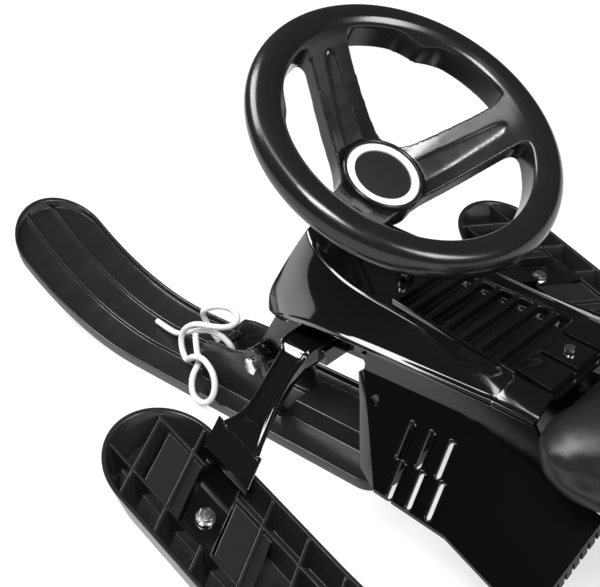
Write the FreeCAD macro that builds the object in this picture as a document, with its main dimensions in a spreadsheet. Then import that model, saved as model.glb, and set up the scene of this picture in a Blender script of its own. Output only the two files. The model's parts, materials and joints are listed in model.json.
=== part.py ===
import FreeCAD, Part
import math
import os
import Sketcher

# Steering sled: one steered front ski, two fixed side skis on arms, a cowl, a padded seat and a foot brake.
# Frame: +X forward, +Y to the rider's left, +Z up, ground at Z = 0, millimetres and degrees.

Vector = FreeCAD.Vector
doc = FreeCAD.newDocument("steering_sled")

driving_sizes = {
    # Steering column, measured along its own axis from the ski's pivot bolt
    "column_tilt": 36,
    "pivot_x": 116,
    "pivot_z": 60,
    "column_radius": 10,
    "column_bore": 7,
    "column_foot": 18,
    "thread_radius": 5,
    "head_bottom": 100,
    "head_top": 215,
    "head_radius": 18,
    "bush_radius": 14,
    "bush_length": 20,
    "bush_flange": 3,
    "bush_flange_radius": 17,
    "bush_fit": 0.05,
    "end_float": 0.3,
    # Fork at the foot of the column
    "fork_width": 48,
    "fork_boss_radius": 17,
    "fork_neck": 28,
    "pivot_radius": 5,
    "pivot_fit": 0.08,
    # Steering wheel
    "wheel_radius": 139,
    "rim_radius": 14,
    "ring_level": 7.5,
    "dish_depth": 54,
    "hub_boss_radius": 16,
    "hub_shoulder": 296,
    "cup_floor": 4,
    "cup_step": 6.5,
    "cup_under": 12,
    "collar_radius": 37,
    "collar_wall": 3.5,
    "collar_lip": 2,
    "step_ledge": 3.5,
    "spoke_root_half": 25,
    "spoke_waist_half": 19,
    "spoke_end_half": 34,
    "spoke_depth": 17,
    "spoke_spread": 110,
    "spoke_waist_at": 90,
    "lobe_radius": 13,
    "lobe_angle": 52,
    "cap_radius": 26,
    "cap_flange": 2.5,
    "cap_rise": 6.5,
    "trim_fit": 0.2,
    "nut_width": 17,
    "nut_height": 5.8,
    # Front ski
    "ski_rear_x": -85,
    "ski_bend_x": 303,
    "ski_tip_x": 566,
    "ski_half": 61,
    "ski_nose": 47,
    "ski_rim": 12,
    "ski_base": 5,
    "ski_wall": 4,
    "ski_bend_radius": 371,
    "tail_radius": 150,
    "tail_angle": 10,
    "ridge_y": 19,
    "ridge_width": 5,
    "ridge_height": 4,
    "flange_thick": 6,
    "flange_gap": 0.4,
    "flange_rear_x": 84,
    "flange_front_x": 214,
    "flange_top": 78,
    "flange_front_top": 58,
    "spine_half": 22,
    "spine_rear_x": -70,
    "spine_front_x": 66,
    "spine_top": 30,
    "spine_ramp": 22,
    "rope_bar_x": 206,
    "rope_bar_z": 36,
    "rope_bar_radius": 5,
    "bolt_head_width": 17,
    "bolt_head_height": 6.4,
    # Main frame
    "beam_half": 30,
    "beam_wall": 2.5,
    "beam_bottom": 132,
    "beam_top": 168,
    "beam_rear_x": -548,
    "beam_front_x": 26,
    "gusset_top": 196,
    "ear_inner": 57,
    "ear_thick": 4,
    "ear_front_x": -80,
    "ear_rear_x": -142,
    "cross_plate": 5,
    "post_radius": 8,
    "post_front_x": -84,
    "post_rear_x": -254,
    # Cowl
    "cowl_wall": 3,
    "cowl_rear_x": -275,
    "lip_z": 186,
    "insert_front_x": -101,
    "insert_split_x": -234,
    "insert_rear_x": -270,
    "insert_front_half": 38,
    "insert_rear_half": 49,
    "insert_drop": 8,
    "insert_thick": 4,
    "insert_fit": 0.3,
    "slat_width": 6,
    "slat_count": 6,
    "pad_rise": 9,
    "pad_groove": 4,
    "screw_radius": 2.5,
    "screw_head_radius": 4.5,
    "screw_head_height": 3,
    "screw_fit": 0.2,
    # Side skis and their arms
    "board_inner_y": 187,
    "board_width": 106,
    "board_nose": 52,
    "board_rim": 30,
    "board_base": 4,
    "board_wall": 4,
    "board_tip_x": 35,
    "board_rear_x": -567,
    "board_rise": 25.8,
    "board_bend_x": -220,
    "board_bend_radius": 400,
    "rib_thick": 3,
    "rib_pitch": 40,
    "rib_first_x": 7,
    "rib_skew": 0.46,
    "rib_rail": 26,
    "rib_drop": 2,
    "board_bolt_x": -53,
    "board_bolt_y": 240,
    "rear_bolt_x": -453,
    "tongue_half": 17,
    "tongue_end_y": 263,
    "tongue_thick": 8,
    "saddle_half": 25,
    "saddle_inner_y": 178,
    "saddle_outer_y": 208,
    "saddle_thick": 11,
    "seat_gap": 0.2,
    "arm_root_front_x": 14,
    "arm_root_length": 46,
    "arm_root_low": 134,
    "arm_root_high": 151,
    "arm_pad_y": 72,
    "arm_pad_width": 44,
    "arm_waist_y": 126,
    "arm_waist_x": -24,
    "arm_waist_z": 129,
    "arm_waist_width": 27,
    "arm_waist_depth": 20,
    "arm_flange": 12,
    "rear_arm_front_x": -448,
    "cross_bolt_radius": 4,
    "cross_bolt_inset": 11,
    "board_bolt_radius": 4,
    "board_nut_height": 6.5,
    # Foot brake
    "brake_axis_x": -110,
    "brake_axis_z": 140,
    "brake_rod_radius": 4,
    "brake_rod_half": 67.2,
    "brake_fit": 0.08,
    "brake_inner_y": 63,
    "brake_sheet": 2.5,
    "wing_top": 156,
    "wing_wall_top": 181,
    "wing_wall_rear_x": -290,
    "wing_front_x": -86,
    "wing_corner_x": -143,
    "wing_corner_y": 124,
    "wing_crease_x": -222,
    "wing_crease_y": 128,
    "wing_slope": 1.155,
    "wing_rear_x": -327,
    "wing_rear_drop": 42,
    "wing_tail_x": -306,
    "wing_tail_y": 136,
    "slot_length": 27,
    "slot_width": 6,
    "slot_pitch": 21,
    "slot_first_x": -155,
    "slot_row_y": 92,
    "slot_row_step": 22,
    "tooth_pitch": 9,
    "tooth_drop": 8,
    "brake_bar_radius": 6,
    "cap_length": 3,
    "cap_wall": 1.6,
    # Seat
    "seat_front_x": -278,
    "seat_rear_x": -564,
    "seat_half": 112,
    "seat_base_half": 62,
    "seat_base_thick": 8,
    "seat_bottom": 154,
    "seat_height": 56,
    "seat_crown": 12,
    "seat_edge": 14,
    "seat_draw": 6,
    "seat_corner": 42,
    "seat_screw_inset": 40,
    "seat_screw_y": 18,
    # Tow rope
    "rope_diameter": 7,
}


class Size:
    # A length or angle that carries the sheet expression it comes from.
    def __init__(self, text, value):
        self.text = text
        self.value = value

    def join(self, other, sign, result):
        text = other.text if isinstance(other, Size) else repr(float(other))
        return Size("(%s %s %s)" % (self.text, sign, text), result)

    def __add__(self, other):
        return self.join(other, "+", self.value + number(other))

    def __sub__(self, other):
        return self.join(other, "-", self.value - number(other))

    def __mul__(self, other):
        return self.join(other, "*", self.value * number(other))

    def __truediv__(self, other):
        return self.join(other, "/", self.value / number(other))

    def __neg__(self):
        return Size("(-%s)" % self.text, -self.value)


def number(size):
    return size.value if isinstance(size, Size) else float(size)


class Sheet:
    # The driving dimensions, one alias for each row of the sheet.
    def __init__(self, values):
        sheet = doc.addObject("Spreadsheet::Sheet", "Sizes")
        for row, (alias, value) in enumerate(values.items(), start=1):
            sheet.set("A%d" % row, alias)
            sheet.set("B%d" % row, str(value))
            sheet.setAlias("B%d" % row, alias)
        doc.recompute()
        for alias in values:
            setattr(self, alias, Size("Sizes." + alias, float(sheet.get(alias))))


d = Sheet(driving_sizes)
pieces = []


def sine(angle):
    return Size("sin(%s * 1 deg)" % angle.text, math.sin(math.radians(angle.value)))


def cosine(angle):
    return Size("cos(%s * 1 deg)" % angle.text, math.cos(math.radians(angle.value)))


def bind(thing, name, size):
    thing.setExpression(name, size.text if isinstance(size, Size) else repr(float(size)))


# Helpers for bodies and sketches

def new_body(label):
    body = doc.addObject("PartDesign::Body", label)
    body.Label = label
    pieces.append(body)
    return body


def new_piece(label, shape):
    piece = doc.addObject("Part::Feature", label)
    piece.Shape = shape
    piece.Label = label
    piece.Placement = FreeCAD.Placement()
    pieces.append(piece)
    return piece


def on_column(body):
    # Local Z runs up the column from the ski's pivot bolt, local X points forward and up.
    body.Placement = FreeCAD.Placement(Vector(), FreeCAD.Rotation(Vector(0, 1, 0), -1))
    body.setExpression("Placement.Rotation.Angle", "-%s * 1 deg" % d.column_tilt.text)
    bind(body, "Placement.Base.x", d.pivot_x)
    bind(body, "Placement.Base.z", d.pivot_z)


def new_sketch(body, name, role, offset=None):
    sketch = body.newObject("Sketcher::SketchObject", name)
    plane = [item for item in body.Origin.OriginFeatures if item.Role == role][0]
    sketch.AttachmentSupport = [(plane, "")]
    sketch.MapMode = "FlatFace"
    if offset is not None:
        bind(sketch, "AttachmentOffset.Base.z", offset)
    return sketch


def pin_point(sketch, line, end, x, y):
    for kind, size in (("DistanceX", x), ("DistanceY", y)):
        index = sketch.addConstraint(Sketcher.Constraint(kind, -1, 1, line, end, number(size)))
        if isinstance(size, Size):
            sketch.setExpression("Constraints[%d]" % index, size.text)


def draw_outline(sketch, points):
    count = len(points)
    corners = [Vector(number(x), number(y), 0) for x, y in points]
    lines = []
    for i in range(count):
        segment = Part.LineSegment(corners[i], corners[(i + 1) % count])
        lines.append(sketch.addGeometry(segment, False))
    for i in range(count):
        joined = Sketcher.Constraint("Coincident", lines[i], 2, lines[(i + 1) % count], 1)
        sketch.addConstraint(joined)
    for line, (x, y) in zip(lines, points):
        pin_point(sketch, line, 1, x, y)


def draw_circle(sketch, x, y, radius):
    circle = Part.Circle(Vector(number(x), number(y), 0), Vector(0, 0, 1), number(radius))
    index = sketch.addGeometry(circle, False)
    pin_point(sketch, index, 3, x, y)
    index = sketch.addConstraint(Sketcher.Constraint("Radius", index, number(radius)))
    bind(sketch, "Constraints[%d]" % index, radius)


def add_feature(body, kind, sketch):
    feature = body.newObject("PartDesign::" + kind, "%s_%s" % (sketch.Name, kind.lower()))
    feature.Profile = sketch
    sketch.Visibility = False
    return feature


def pad(body, sketch, length, symmetric=True, reverse=False):
    feature = add_feature(body, "Pad", sketch)
    bind(feature, "Length", length)
    feature.SideType = "Symmetric" if symmetric else "One side"
    feature.Reversed = reverse
    return feature


def pocket(body, sketch, length=None, reverse=False):
    feature = add_feature(body, "Pocket", sketch)
    if length is None:
        feature.SideType = "Symmetric"
        feature.Type = "ThroughAll"
    else:
        bind(feature, "Length", length)
        feature.Reversed = reverse
    return feature


def revolve(body, sketch):
    feature = add_feature(body, "Revolution", sketch)
    feature.ReferenceAxis = (sketch, ["V_Axis"])
    feature.Angle = 360
    return feature


def turned(label, profile):
    # A turned piece on the steering column: profile is (radius, height) all round.
    body = new_body(label)
    on_column(body)
    sketch = new_sketch(body, label + "_profile", "XZ_Plane")
    draw_outline(sketch, profile)
    revolve(body, sketch)
    return body


def rectangle(x_low, x_high, y_low, y_high):
    return [(x_low, y_low), (x_high, y_low), (x_high, y_high), (x_low, y_high)]


def loft(body, kind, sketches):
    feature = body.newObject("PartDesign::" + kind, sketches[0].Name + "_loft")
    feature.Profile = sketches[0]
    feature.Sections = sketches[1:]
    feature.Ruled = True
    for sketch in sketches:
        sketch.Visibility = False
    return feature


def hexagon(sketch, x, y, width):
    points = []
    for step in range(6):
        turn = math.radians(60 * step + 30)
        reach = width / math.sqrt(3)
        points.append((x + reach * math.cos(turn), y + reach * math.sin(turn)))
    draw_outline(sketch, points)


# Steering wheel, dished, with three spokes and two thumb lobes

# Levels of the hub, each stacked on the column's shoulder
nut_seat = d.hub_shoulder + d.cup_floor
cap_seat = nut_seat + d.cup_step
ring_top = cap_seat + d.ring_level
cup_bottom = d.hub_shoulder - d.cup_under
rim_level = ring_top + d.dish_depth
column_bore = d.column_radius + d.bush_fit
collar_top = ring_top + d.collar_lip
boss_bottom = d.head_top + d.bush_flange + d.end_float
cup_inner = d.collar_radius - d.collar_wall
ledge_inner = cup_inner - d.step_ledge


def make_wheel():
    body = new_body("steering_wheel")
    on_column(body)
    rim = new_sketch(body, "rim_section", "XZ_Plane")
    draw_circle(rim, d.wheel_radius - d.rim_radius, rim_level, d.rim_radius)
    revolve(body, rim)
    sections = []
    rim_centre = d.wheel_radius - d.rim_radius
    stations = (
        (d.collar_radius - d.collar_wall, d.spoke_root_half, cup_bottom + d.spoke_depth),
        (d.spoke_waist_at, d.spoke_waist_half, rim_level - d.rim_radius * 1.6),
        (rim_centre, d.spoke_end_half, rim_level + d.rim_radius * 0.35),
    )
    for index, (reach, half, top) in enumerate(stations):
        sketch = new_sketch(body, "spoke_section_%d" % index, "YZ_Plane", reach)
        draw_outline(sketch, rectangle(-half, half, top - d.spoke_depth, top))
        sections.append(sketch)
    spoke = loft(body, "AdditiveLoft", sections)
    doc.recompute()
    for name, reverse in (("left", False), ("right", True)):
        pattern = body.newObject("PartDesign::PolarPattern", "spoke_" + name)
        pattern.Originals = [spoke]
        pattern.Axis = (rim, ["V_Axis"])
        bind(pattern, "Angle", d.spoke_spread)
        pattern.Occurrences = 2
        pattern.Reversed = reverse
        body.Tip = pattern
        doc.recompute()
    hub = new_sketch(body, "hub_section", "XZ_Plane")
    draw_outline(hub, [
        (column_bore, boss_bottom),
        (d.hub_boss_radius, boss_bottom),
        (d.hub_boss_radius, cup_bottom),
        (d.collar_radius, cup_bottom),
        (d.collar_radius, collar_top),
        (cup_inner, collar_top),
        (cup_inner, cap_seat),
        (ledge_inner, cap_seat),
        (ledge_inner, nut_seat),
        (d.thread_radius + d.trim_fit, nut_seat),
        (d.thread_radius + d.trim_fit, d.hub_shoulder),
        (column_bore, d.hub_shoulder),
    ])
    revolve(body, hub)
    cup = new_sketch(body, "cup_clearance", "XZ_Plane")
    draw_outline(cup, [
        (Size("0", 0.0), cap_seat),
        (cup_inner, cap_seat),
        (cup_inner, collar_top + d.spoke_depth),
        (Size("0", 0.0), collar_top + d.spoke_depth),
    ])
    clear = add_feature(body, "Groove", cup)
    clear.ReferenceAxis = (cup, ["V_Axis"])
    clear.Angle = 360
    for name, side in (("left", 1), ("right", -1)):
        lobe = body.newObject("PartDesign::AdditiveSphere", "thumb_lobe_" + name)
        bind(lobe, "Radius", d.lobe_radius)
        reach = rim_centre - d.rim_radius * 0.8
        bind(lobe, "AttachmentOffset.Base.x", reach * cosine(d.lobe_angle))
        bind(lobe, "AttachmentOffset.Base.y", reach * sine(d.lobe_angle) * side)
        bind(lobe, "AttachmentOffset.Base.z", rim_level)
        plane = [item for item in body.Origin.OriginFeatures if item.Role == "XY_Plane"][0]
        lobe.AttachmentSupport = [(plane, "")]
        lobe.MapMode = "ObjectXY"
    return body


def make_column_parts():
    zero = Size("0", 0.0)
    turned("hub_cap", [
        (zero, cap_seat),
        (cup_inner - d.trim_fit, cap_seat),
        (cup_inner - d.trim_fit, cap_seat + d.cap_flange),
        (d.cap_radius, cap_seat + d.cap_flange),
        (d.cap_radius, cap_seat + d.cap_rise),
        (zero, cap_seat + d.cap_rise),
    ])
    turned("hub_ring", [
        (d.cap_radius + d.trim_fit, cap_seat + d.cap_flange),
        (cup_inner - d.trim_fit, cap_seat + d.cap_flange),
        (cup_inner - d.trim_fit, ring_top),
        (d.cap_radius + d.trim_fit, ring_top),
    ])
    nut = new_body("wheel_nut")
    on_column(nut)
    sketch = new_sketch(nut, "wheel_nut_outline", "XY_Plane", nut_seat)
    hexagon(sketch, Size("0", 0.0), Size("0", 0.0), d.nut_width)
    pad(nut, sketch, d.nut_height, symmetric=False)
    doc.recompute()
    bore = new_sketch(nut, "wheel_nut_bore", "XY_Plane")
    draw_circle(bore, 0, 0, d.thread_radius + d.trim_fit)
    pocket(nut, bore)
    turned("steering_column", [
        (d.column_bore, d.column_foot),
        (d.column_radius, d.column_foot),
        (d.column_radius, d.hub_shoulder),
        (d.thread_radius, d.hub_shoulder),
        (d.thread_radius, nut_seat + d.nut_height),
        (zero, nut_seat + d.nut_height),
        (zero, d.hub_shoulder - d.column_radius),
        (d.column_bore, d.hub_shoulder - d.column_radius),
    ])
    flange = d.bush_flange
    turned("upper_column_bush", [
        (column_bore, d.head_top - d.bush_length),
        (d.bush_radius, d.head_top - d.bush_length),
        (d.bush_radius, d.head_top),
        (d.bush_flange_radius, d.head_top),
        (d.bush_flange_radius, d.head_top + flange),
        (column_bore, d.head_top + flange),
    ])
    turned("lower_column_bush", [
        (column_bore, d.head_bottom - flange),
        (d.bush_flange_radius, d.head_bottom - flange),
        (d.bush_flange_radius, d.head_bottom),
        (d.bush_radius, d.head_bottom),
        (d.bush_radius, d.head_bottom + d.bush_length),
        (column_bore, d.head_bottom + d.bush_length),
    ])


def make_fork():
    body = new_body("steering_fork")
    on_column(body)
    top = d.head_bottom - d.bush_flange - d.end_float
    boss = new_sketch(body, "fork_boss", "XZ_Plane")
    draw_circle(boss, 0, 0, d.fork_boss_radius)
    pad(body, boss, d.fork_width)
    neck = new_sketch(body, "fork_neck", "XZ_Plane")
    draw_outline(neck, rectangle(-d.fork_neck / 2, d.fork_neck / 2, Size("0", 0.0), top))
    pad(body, neck, d.fork_neck)
    doc.recompute()
    socket = new_sketch(body, "fork_socket", "XY_Plane", d.column_foot)
    draw_circle(socket, 0, 0, column_bore)
    pocket(body, socket, top, reverse=True)
    eye = new_sketch(body, "fork_eye", "XZ_Plane")
    draw_circle(eye, 0, 0, d.pivot_radius + d.pivot_fit)
    pocket(body, eye)


# Long moulded runners: the bottom line runs forward from the tail as lines and rising arcs

def runner_edges(start, heading, runs, height):
    edges = []
    turn = math.radians(heading)
    point = start + Vector(-math.sin(turn), 0, math.cos(turn)) * height
    for kind, length, bend in runs:
        ahead = Vector(math.cos(turn), 0, math.sin(turn))
        up = Vector(-math.sin(turn), 0, math.cos(turn))
        if kind == "line":
            after = point + ahead * length
            edges.append(Part.LineSegment(point, after))
        else:
            radius = length - height
            centre = point + up * radius
            half = turn + math.radians(bend) / 2
            turn += math.radians(bend)
            middle = centre - Vector(-math.sin(half), 0, math.cos(half)) * radius
            after = centre - Vector(-math.sin(turn), 0, math.cos(turn)) * radius
            edges.append(Part.Arc(point, middle, after))
        point = after
    return edges


def runner_strip(start, heading, runs, low, high, side_low, side_high):
    below = [edge.toShape() for edge in runner_edges(start, heading, runs, low)]
    above = [edge.toShape() for edge in runner_edges(start, heading, runs, high)]
    tail = Part.makeLine(below[0].Vertexes[0].Point, above[0].Vertexes[0].Point)
    nose = Part.makeLine(below[-1].Vertexes[-1].Point, above[-1].Vertexes[-1].Point)
    wire = Part.Wire(Part.__sortEdges__(below + [nose] + above + [tail]))
    face = Part.Face(wire)
    face.translate(Vector(0, side_low, 0))
    return face.extrude(Vector(0, side_high - side_low, 0))


def runner_plan(rear_x, tip_x, middle_y, half, nose, tail_corner, height):
    # Seen from above: a round nose, straight sides and rounded tail corners.
    nose_x = tip_x - nose
    round_nose = Part.Ellipse(
        Vector(nose_x, middle_y + half), Vector(nose_x + nose, middle_y), Vector(nose_x, middle_y)
    )
    left = middle_y + half
    right = middle_y - half
    slant = tail_corner * (1 - math.sqrt(0.5))
    edges = [
        Part.LineSegment(Vector(rear_x + tail_corner, right), Vector(nose_x, right)),
        Part.ArcOfEllipse(round_nose, 0, math.pi),
        Part.LineSegment(Vector(nose_x, left), Vector(rear_x + tail_corner, left)),
        Part.Arc(
            Vector(rear_x + tail_corner, left),
            Vector(rear_x + slant, left - slant),
            Vector(rear_x, left - tail_corner),
        ),
        Part.LineSegment(Vector(rear_x, left - tail_corner), Vector(rear_x, right + tail_corner)),
        Part.Arc(
            Vector(rear_x, right + tail_corner),
            Vector(rear_x + slant, right + slant),
            Vector(rear_x + tail_corner, right),
        ),
    ]
    wire = Part.Wire([edge.toShape() for edge in edges])
    return Part.Face(wire).extrude(Vector(0, 0, height))


def block(x_low, x_high, y_low, y_high, z_low, z_high):
    size = Vector(x_high - x_low, y_high - y_low, z_high - z_low)
    return Part.makeBox(size.x, size.y, size.z, Vector(x_low, y_low, z_low))


def side_plate(points, y_low, y_high):
    # A plate standing along the sled, drawn by its corners in X and Z.
    corners = [Vector(x, y_low, z) for x, z in points]
    face = Part.Face(Part.makePolygon(corners + corners[:1]))
    return face.extrude(Vector(0, y_high - y_low, 0))


def cross_rod(x, z, radius, y_low, y_high):
    return Part.makeCylinder(radius, y_high - y_low, Vector(x, y_low, z), Vector(0, 1, 0))


def hex_rod(x, z, width, y_low, y_high):
    points = []
    for step in range(7):
        turn = math.radians(60 * step)
        reach = width / math.sqrt(3)
        points.append(Vector(x + reach * math.cos(turn), y_low, z + reach * math.sin(turn)))
    return Part.Face(Part.makePolygon(points)).extrude(Vector(0, y_high - y_low, 0))


def one_solid(shape):
    shape = shape.removeSplitter()
    return shape.Solids[0] if len(shape.Solids) == 1 else shape


flange_inner = d.fork_width.value / 2 + d.flange_gap.value
flange_outer = flange_inner + d.flange_thick.value


def make_front_ski():
    tail = math.radians(d.tail_angle.value)
    rear = Vector(d.ski_rear_x.value, 0, d.tail_radius.value * (1 - math.cos(tail)))
    flat = d.ski_bend_x.value - d.ski_rear_x.value - d.tail_radius.value * math.sin(tail)
    reach = (d.ski_tip_x.value - d.ski_bend_x.value) / d.ski_bend_radius.value
    bend = math.degrees(math.asin(reach))
    runs = [
        ("arc", d.tail_radius.value, d.tail_angle.value),
        ("line", flat, 0),
        ("arc", d.ski_bend_radius.value, bend),
        ("line", d.ski_rim.value * 2, 0),
    ]

    def strip(low, high, half):
        return runner_strip(rear, -d.tail_angle.value, runs, low, high, -half, half)

    height = d.ski_bend_radius.value
    half = d.ski_half.value
    wall = d.ski_wall.value
    nose = d.ski_nose.value
    plan = runner_plan(d.ski_rear_x.value + 1, d.ski_tip_x.value, 0, half, nose, half / 2, height)
    inset = runner_plan(
        d.ski_rear_x.value + 1 + wall, d.ski_tip_x.value - wall, 0, half - wall, nose - wall,
        half / 2 - wall, height,
    )
    trough = strip(d.ski_base.value, d.ski_rim.value + wall, half).common(inset)
    ski = strip(0, d.ski_rim.value, half).common(plan).cut(trough)
    ridge_low = d.ridge_y.value - d.ridge_width.value / 2
    for side in (1, -1):
        ridge = runner_strip(
            rear, -d.tail_angle.value, runs, d.ski_base.value / 2, d.ski_base.value + d.ridge_height.value,
            side * ridge_low, side * (ridge_low + d.ridge_width.value),
        )
        ski = ski.fuse(ridge.common(inset))
    floor = d.ski_base.value / 2
    lobe = d.flange_top.value - d.pivot_z.value
    for side in (1, -1):
        low, high = sorted((side * flange_inner, side * flange_outer))
        outline = [
            (d.flange_rear_x.value, floor),
            (d.flange_front_x.value, floor),
            (d.flange_front_x.value, d.flange_front_top.value - lobe),
            (d.flange_front_x.value - lobe / 3, d.flange_front_top.value - lobe * 0.6),
            (d.flange_front_x.value - lobe, d.flange_front_top.value),
            (d.flange_front_x.value - lobe * 2, d.flange_front_top.value + lobe / 5),
            (d.pivot_x.value + lobe * 2, d.flange_front_top.value + lobe / 4),
            (d.pivot_x.value + lobe * 1.4, d.flange_front_top.value + lobe / 2.2),
        ]
        for step in range(13):
            turn = math.radians(30 + 12.5 * step)
            outline.append((d.pivot_x.value + lobe * math.cos(turn), d.pivot_z.value + lobe * math.sin(turn)))
        outline.append((d.flange_rear_x.value, d.spine_top.value))
        ski = ski.fuse(side_plate(outline, low, high))
    spine = side_plate([
        (d.spine_rear_x.value, floor),
        (d.spine_front_x.value + d.spine_ramp.value, floor),
        (d.spine_front_x.value, d.spine_top.value),
        (d.spine_rear_x.value + d.spine_ramp.value, d.spine_top.value),
    ], -d.spine_half.value, d.spine_half.value)
    hollow = side_plate([
        (d.spine_rear_x.value + d.spine_ramp.value, -wall),
        (d.spine_front_x.value, -wall),
        (d.spine_front_x.value - wall, d.spine_top.value - wall),
        (d.spine_rear_x.value + d.spine_ramp.value + wall, d.spine_top.value - wall),
    ], -d.spine_half.value + wall, d.spine_half.value - wall)
    bar_place = (d.rope_bar_x.value, d.rope_bar_z.value)
    bar = cross_rod(*bar_place, d.rope_bar_radius.value, -flange_outer, flange_outer)
    ski = ski.fuse(spine).fuse(bar).cut(hollow)
    hole = d.pivot_radius.value + d.pivot_fit.value
    ski = ski.cut(cross_rod(d.pivot_x.value, d.pivot_z.value, hole, -half, half))
    new_piece("front_ski", one_solid(ski))
    x = d.pivot_x.value
    z = d.pivot_z.value
    far = flange_outer + d.board_nut_height.value + d.pivot_radius.value / 2
    head = hex_rod(x, z, d.bolt_head_width.value, flange_outer, flange_outer + d.bolt_head_height.value)
    shank = cross_rod(x, z, d.pivot_radius.value, -far, flange_outer + d.bolt_head_height.value / 2)
    new_piece("ski_pivot_bolt", one_solid(head.fuse(shank)))
    nut = hex_rod(x, z, d.bolt_head_width.value, -flange_outer - d.board_nut_height.value, -flange_outer)
    nut = nut.cut(cross_rod(x, z, d.pivot_radius.value + d.pivot_fit.value, -far, 0))
    new_piece("ski_pivot_nut", one_solid(nut))


# Main frame: an open-bottomed beam with the head tube, brake ears and two cowl posts

cowl_sections = (
    # x, lip half width, lip z, shoulder half width, shoulder z, top half width, top z
    (81, 27, 153, 29, 159, 26, 166),
    (51, 41, 150, 41, 168, 35, 190),
    (21, 56, 153, 48, 194, 31, 234),
    (6, 61, 158, 49, 214, 30, 251),
    (-20, 68, 171, 53, 217, 41, 241),
    (-60, 76, d.lip_z.value, 59, 220, 51, 229),
    (-166, 78, d.lip_z.value, 60, 207, 52, 214),
    (d.cowl_rear_x.value, 78, d.lip_z.value - 2, 61, 194, 53, 200),
)


def cowl_top(x):
    for front, back in zip(cowl_sections, cowl_sections[1:]):
        if front[0] >= x >= back[0]:
            share = (front[0] - x) / (front[0] - back[0])
            return front[6] + (back[6] - front[6]) * share
    return cowl_sections[-1][6]


def column_cylinder(body, kind, name, radius, low, high):
    feature = body.newObject("PartDesign::%sCylinder" % kind, name)
    plane = [item for item in body.Origin.OriginFeatures if item.Role == "XY_Plane"][0]
    feature.AttachmentSupport = [(plane, "")]
    feature.MapMode = "ObjectXY"
    feature.AttachmentOffset = FreeCAD.Placement(Vector(), FreeCAD.Rotation(Vector(0, 1, 0), -1))
    feature.setExpression("AttachmentOffset.Rotation.Angle", "-%s * 1 deg" % d.column_tilt.text)
    bind(feature, "AttachmentOffset.Base.x", d.pivot_x - low * sine(d.column_tilt))
    bind(feature, "AttachmentOffset.Base.z", d.pivot_z + low * cosine(d.column_tilt))
    bind(feature, "Radius", radius)
    bind(feature, "Height", high - low)
    return feature


def make_frame():
    body = new_body("main_frame")
    beam = new_sketch(body, "beam_side", "XZ_Plane")
    tilt_run = d.gusset_top - d.beam_top
    draw_outline(beam, [
        (d.beam_rear_x, d.beam_bottom),
        (d.beam_front_x, d.beam_bottom),
        (d.beam_front_x + tilt_run / 2, d.beam_bottom + tilt_run / 2),
        (d.beam_front_x - tilt_run / 2, d.gusset_top),
        (d.beam_front_x - tilt_run * 2, d.gusset_top),
        (d.arm_root_front_x - d.arm_root_length, d.beam_top),
        (d.beam_rear_x, d.beam_top),
    ])
    pad(body, beam, d.beam_half * 2)
    plate = new_sketch(body, "cross_plate", "XZ_Plane")
    draw_outline(plate, rectangle(d.ear_rear_x, d.ear_front_x, d.beam_top - d.cross_plate, d.beam_top))
    pad(body, plate, (d.ear_inner + d.ear_thick) * 2)
    for name, side in (("left", -1), ("right", 1)):
        ear = new_sketch(body, "brake_ear_" + name, "XZ_Plane", (d.ear_inner + d.ear_thick / 2) * side)
        low = d.brake_axis_z - d.brake_rod_radius * 3
        draw_outline(ear, [
            (d.brake_axis_x - d.brake_rod_radius * 3, low),
            (d.brake_axis_x + d.brake_rod_radius * 3, low),
            (d.ear_front_x, d.beam_top),
            (d.ear_rear_x, d.beam_top),
        ])
        pad(body, ear, d.ear_thick)
    for name, place in (("front", d.post_front_x), ("rear", d.post_rear_x)):
        post = new_sketch(body, "cowl_post_" + name, "XY_Plane", d.beam_top - d.cross_plate)
        draw_circle(post, place, 0, d.post_radius)
        low_side = place.value - d.post_radius.value
        top = cowl_top(low_side) - d.cowl_wall.value - d.seat_gap.value
        if name == "rear":
            top = insert_level(low_side) - d.insert_thick.value - d.seat_gap.value
        pad(body, post, top - d.beam_top.value + d.cross_plate.value, symmetric=False)
    doc.recompute()
    column_cylinder(body, "Additive", "head_tube", d.head_radius, d.head_bottom, d.head_top)
    channel = new_sketch(body, "beam_channel", "XZ_Plane")
    draw_outline(channel, [
        (d.beam_rear_x + d.beam_wall, d.beam_bottom - d.beam_wall),
        (d.arm_root_front_x - d.arm_root_length - d.beam_wall, d.beam_bottom - d.beam_wall),
        (d.arm_root_front_x - d.arm_root_length - d.beam_wall, d.beam_top - d.cross_plate),
        (d.beam_rear_x + d.beam_wall, d.beam_top - d.cross_plate),
    ])
    trough = pocket(body, channel, (d.beam_half - d.beam_wall) * 2)
    trough.SideType = "Symmetric"
    doc.recompute()
    column_cylinder(
        body, "Subtractive", "head_bore", d.bush_radius + d.bush_fit,
        d.head_bottom - d.fork_neck, d.head_top + d.fork_neck,
    )
    rod_hole = new_sketch(body, "brake_rod_hole", "XZ_Plane")
    draw_circle(rod_hole, d.brake_axis_x, d.brake_axis_z, d.brake_rod_radius + d.brake_fit)
    pocket(body, rod_hole)
    bolts = new_sketch(body, "cross_bolt_holes", "XZ_Plane")
    for x, z in cross_bolt_places():
        draw_circle(bolts, x, z, d.cross_bolt_radius + d.screw_fit)
    pocket(body, bolts)
    screws = new_sketch(body, "screw_holes", "XY_Plane")
    for x, y in seat_screw_places():
        draw_circle(screws, x, y, d.screw_radius + d.screw_fit)
    draw_circle(screws, d.post_front_x, 0, d.screw_radius + d.screw_fit)
    draw_circle(screws, d.post_rear_x, 0, d.screw_radius + d.screw_fit)
    pocket(body, screws)


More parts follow.
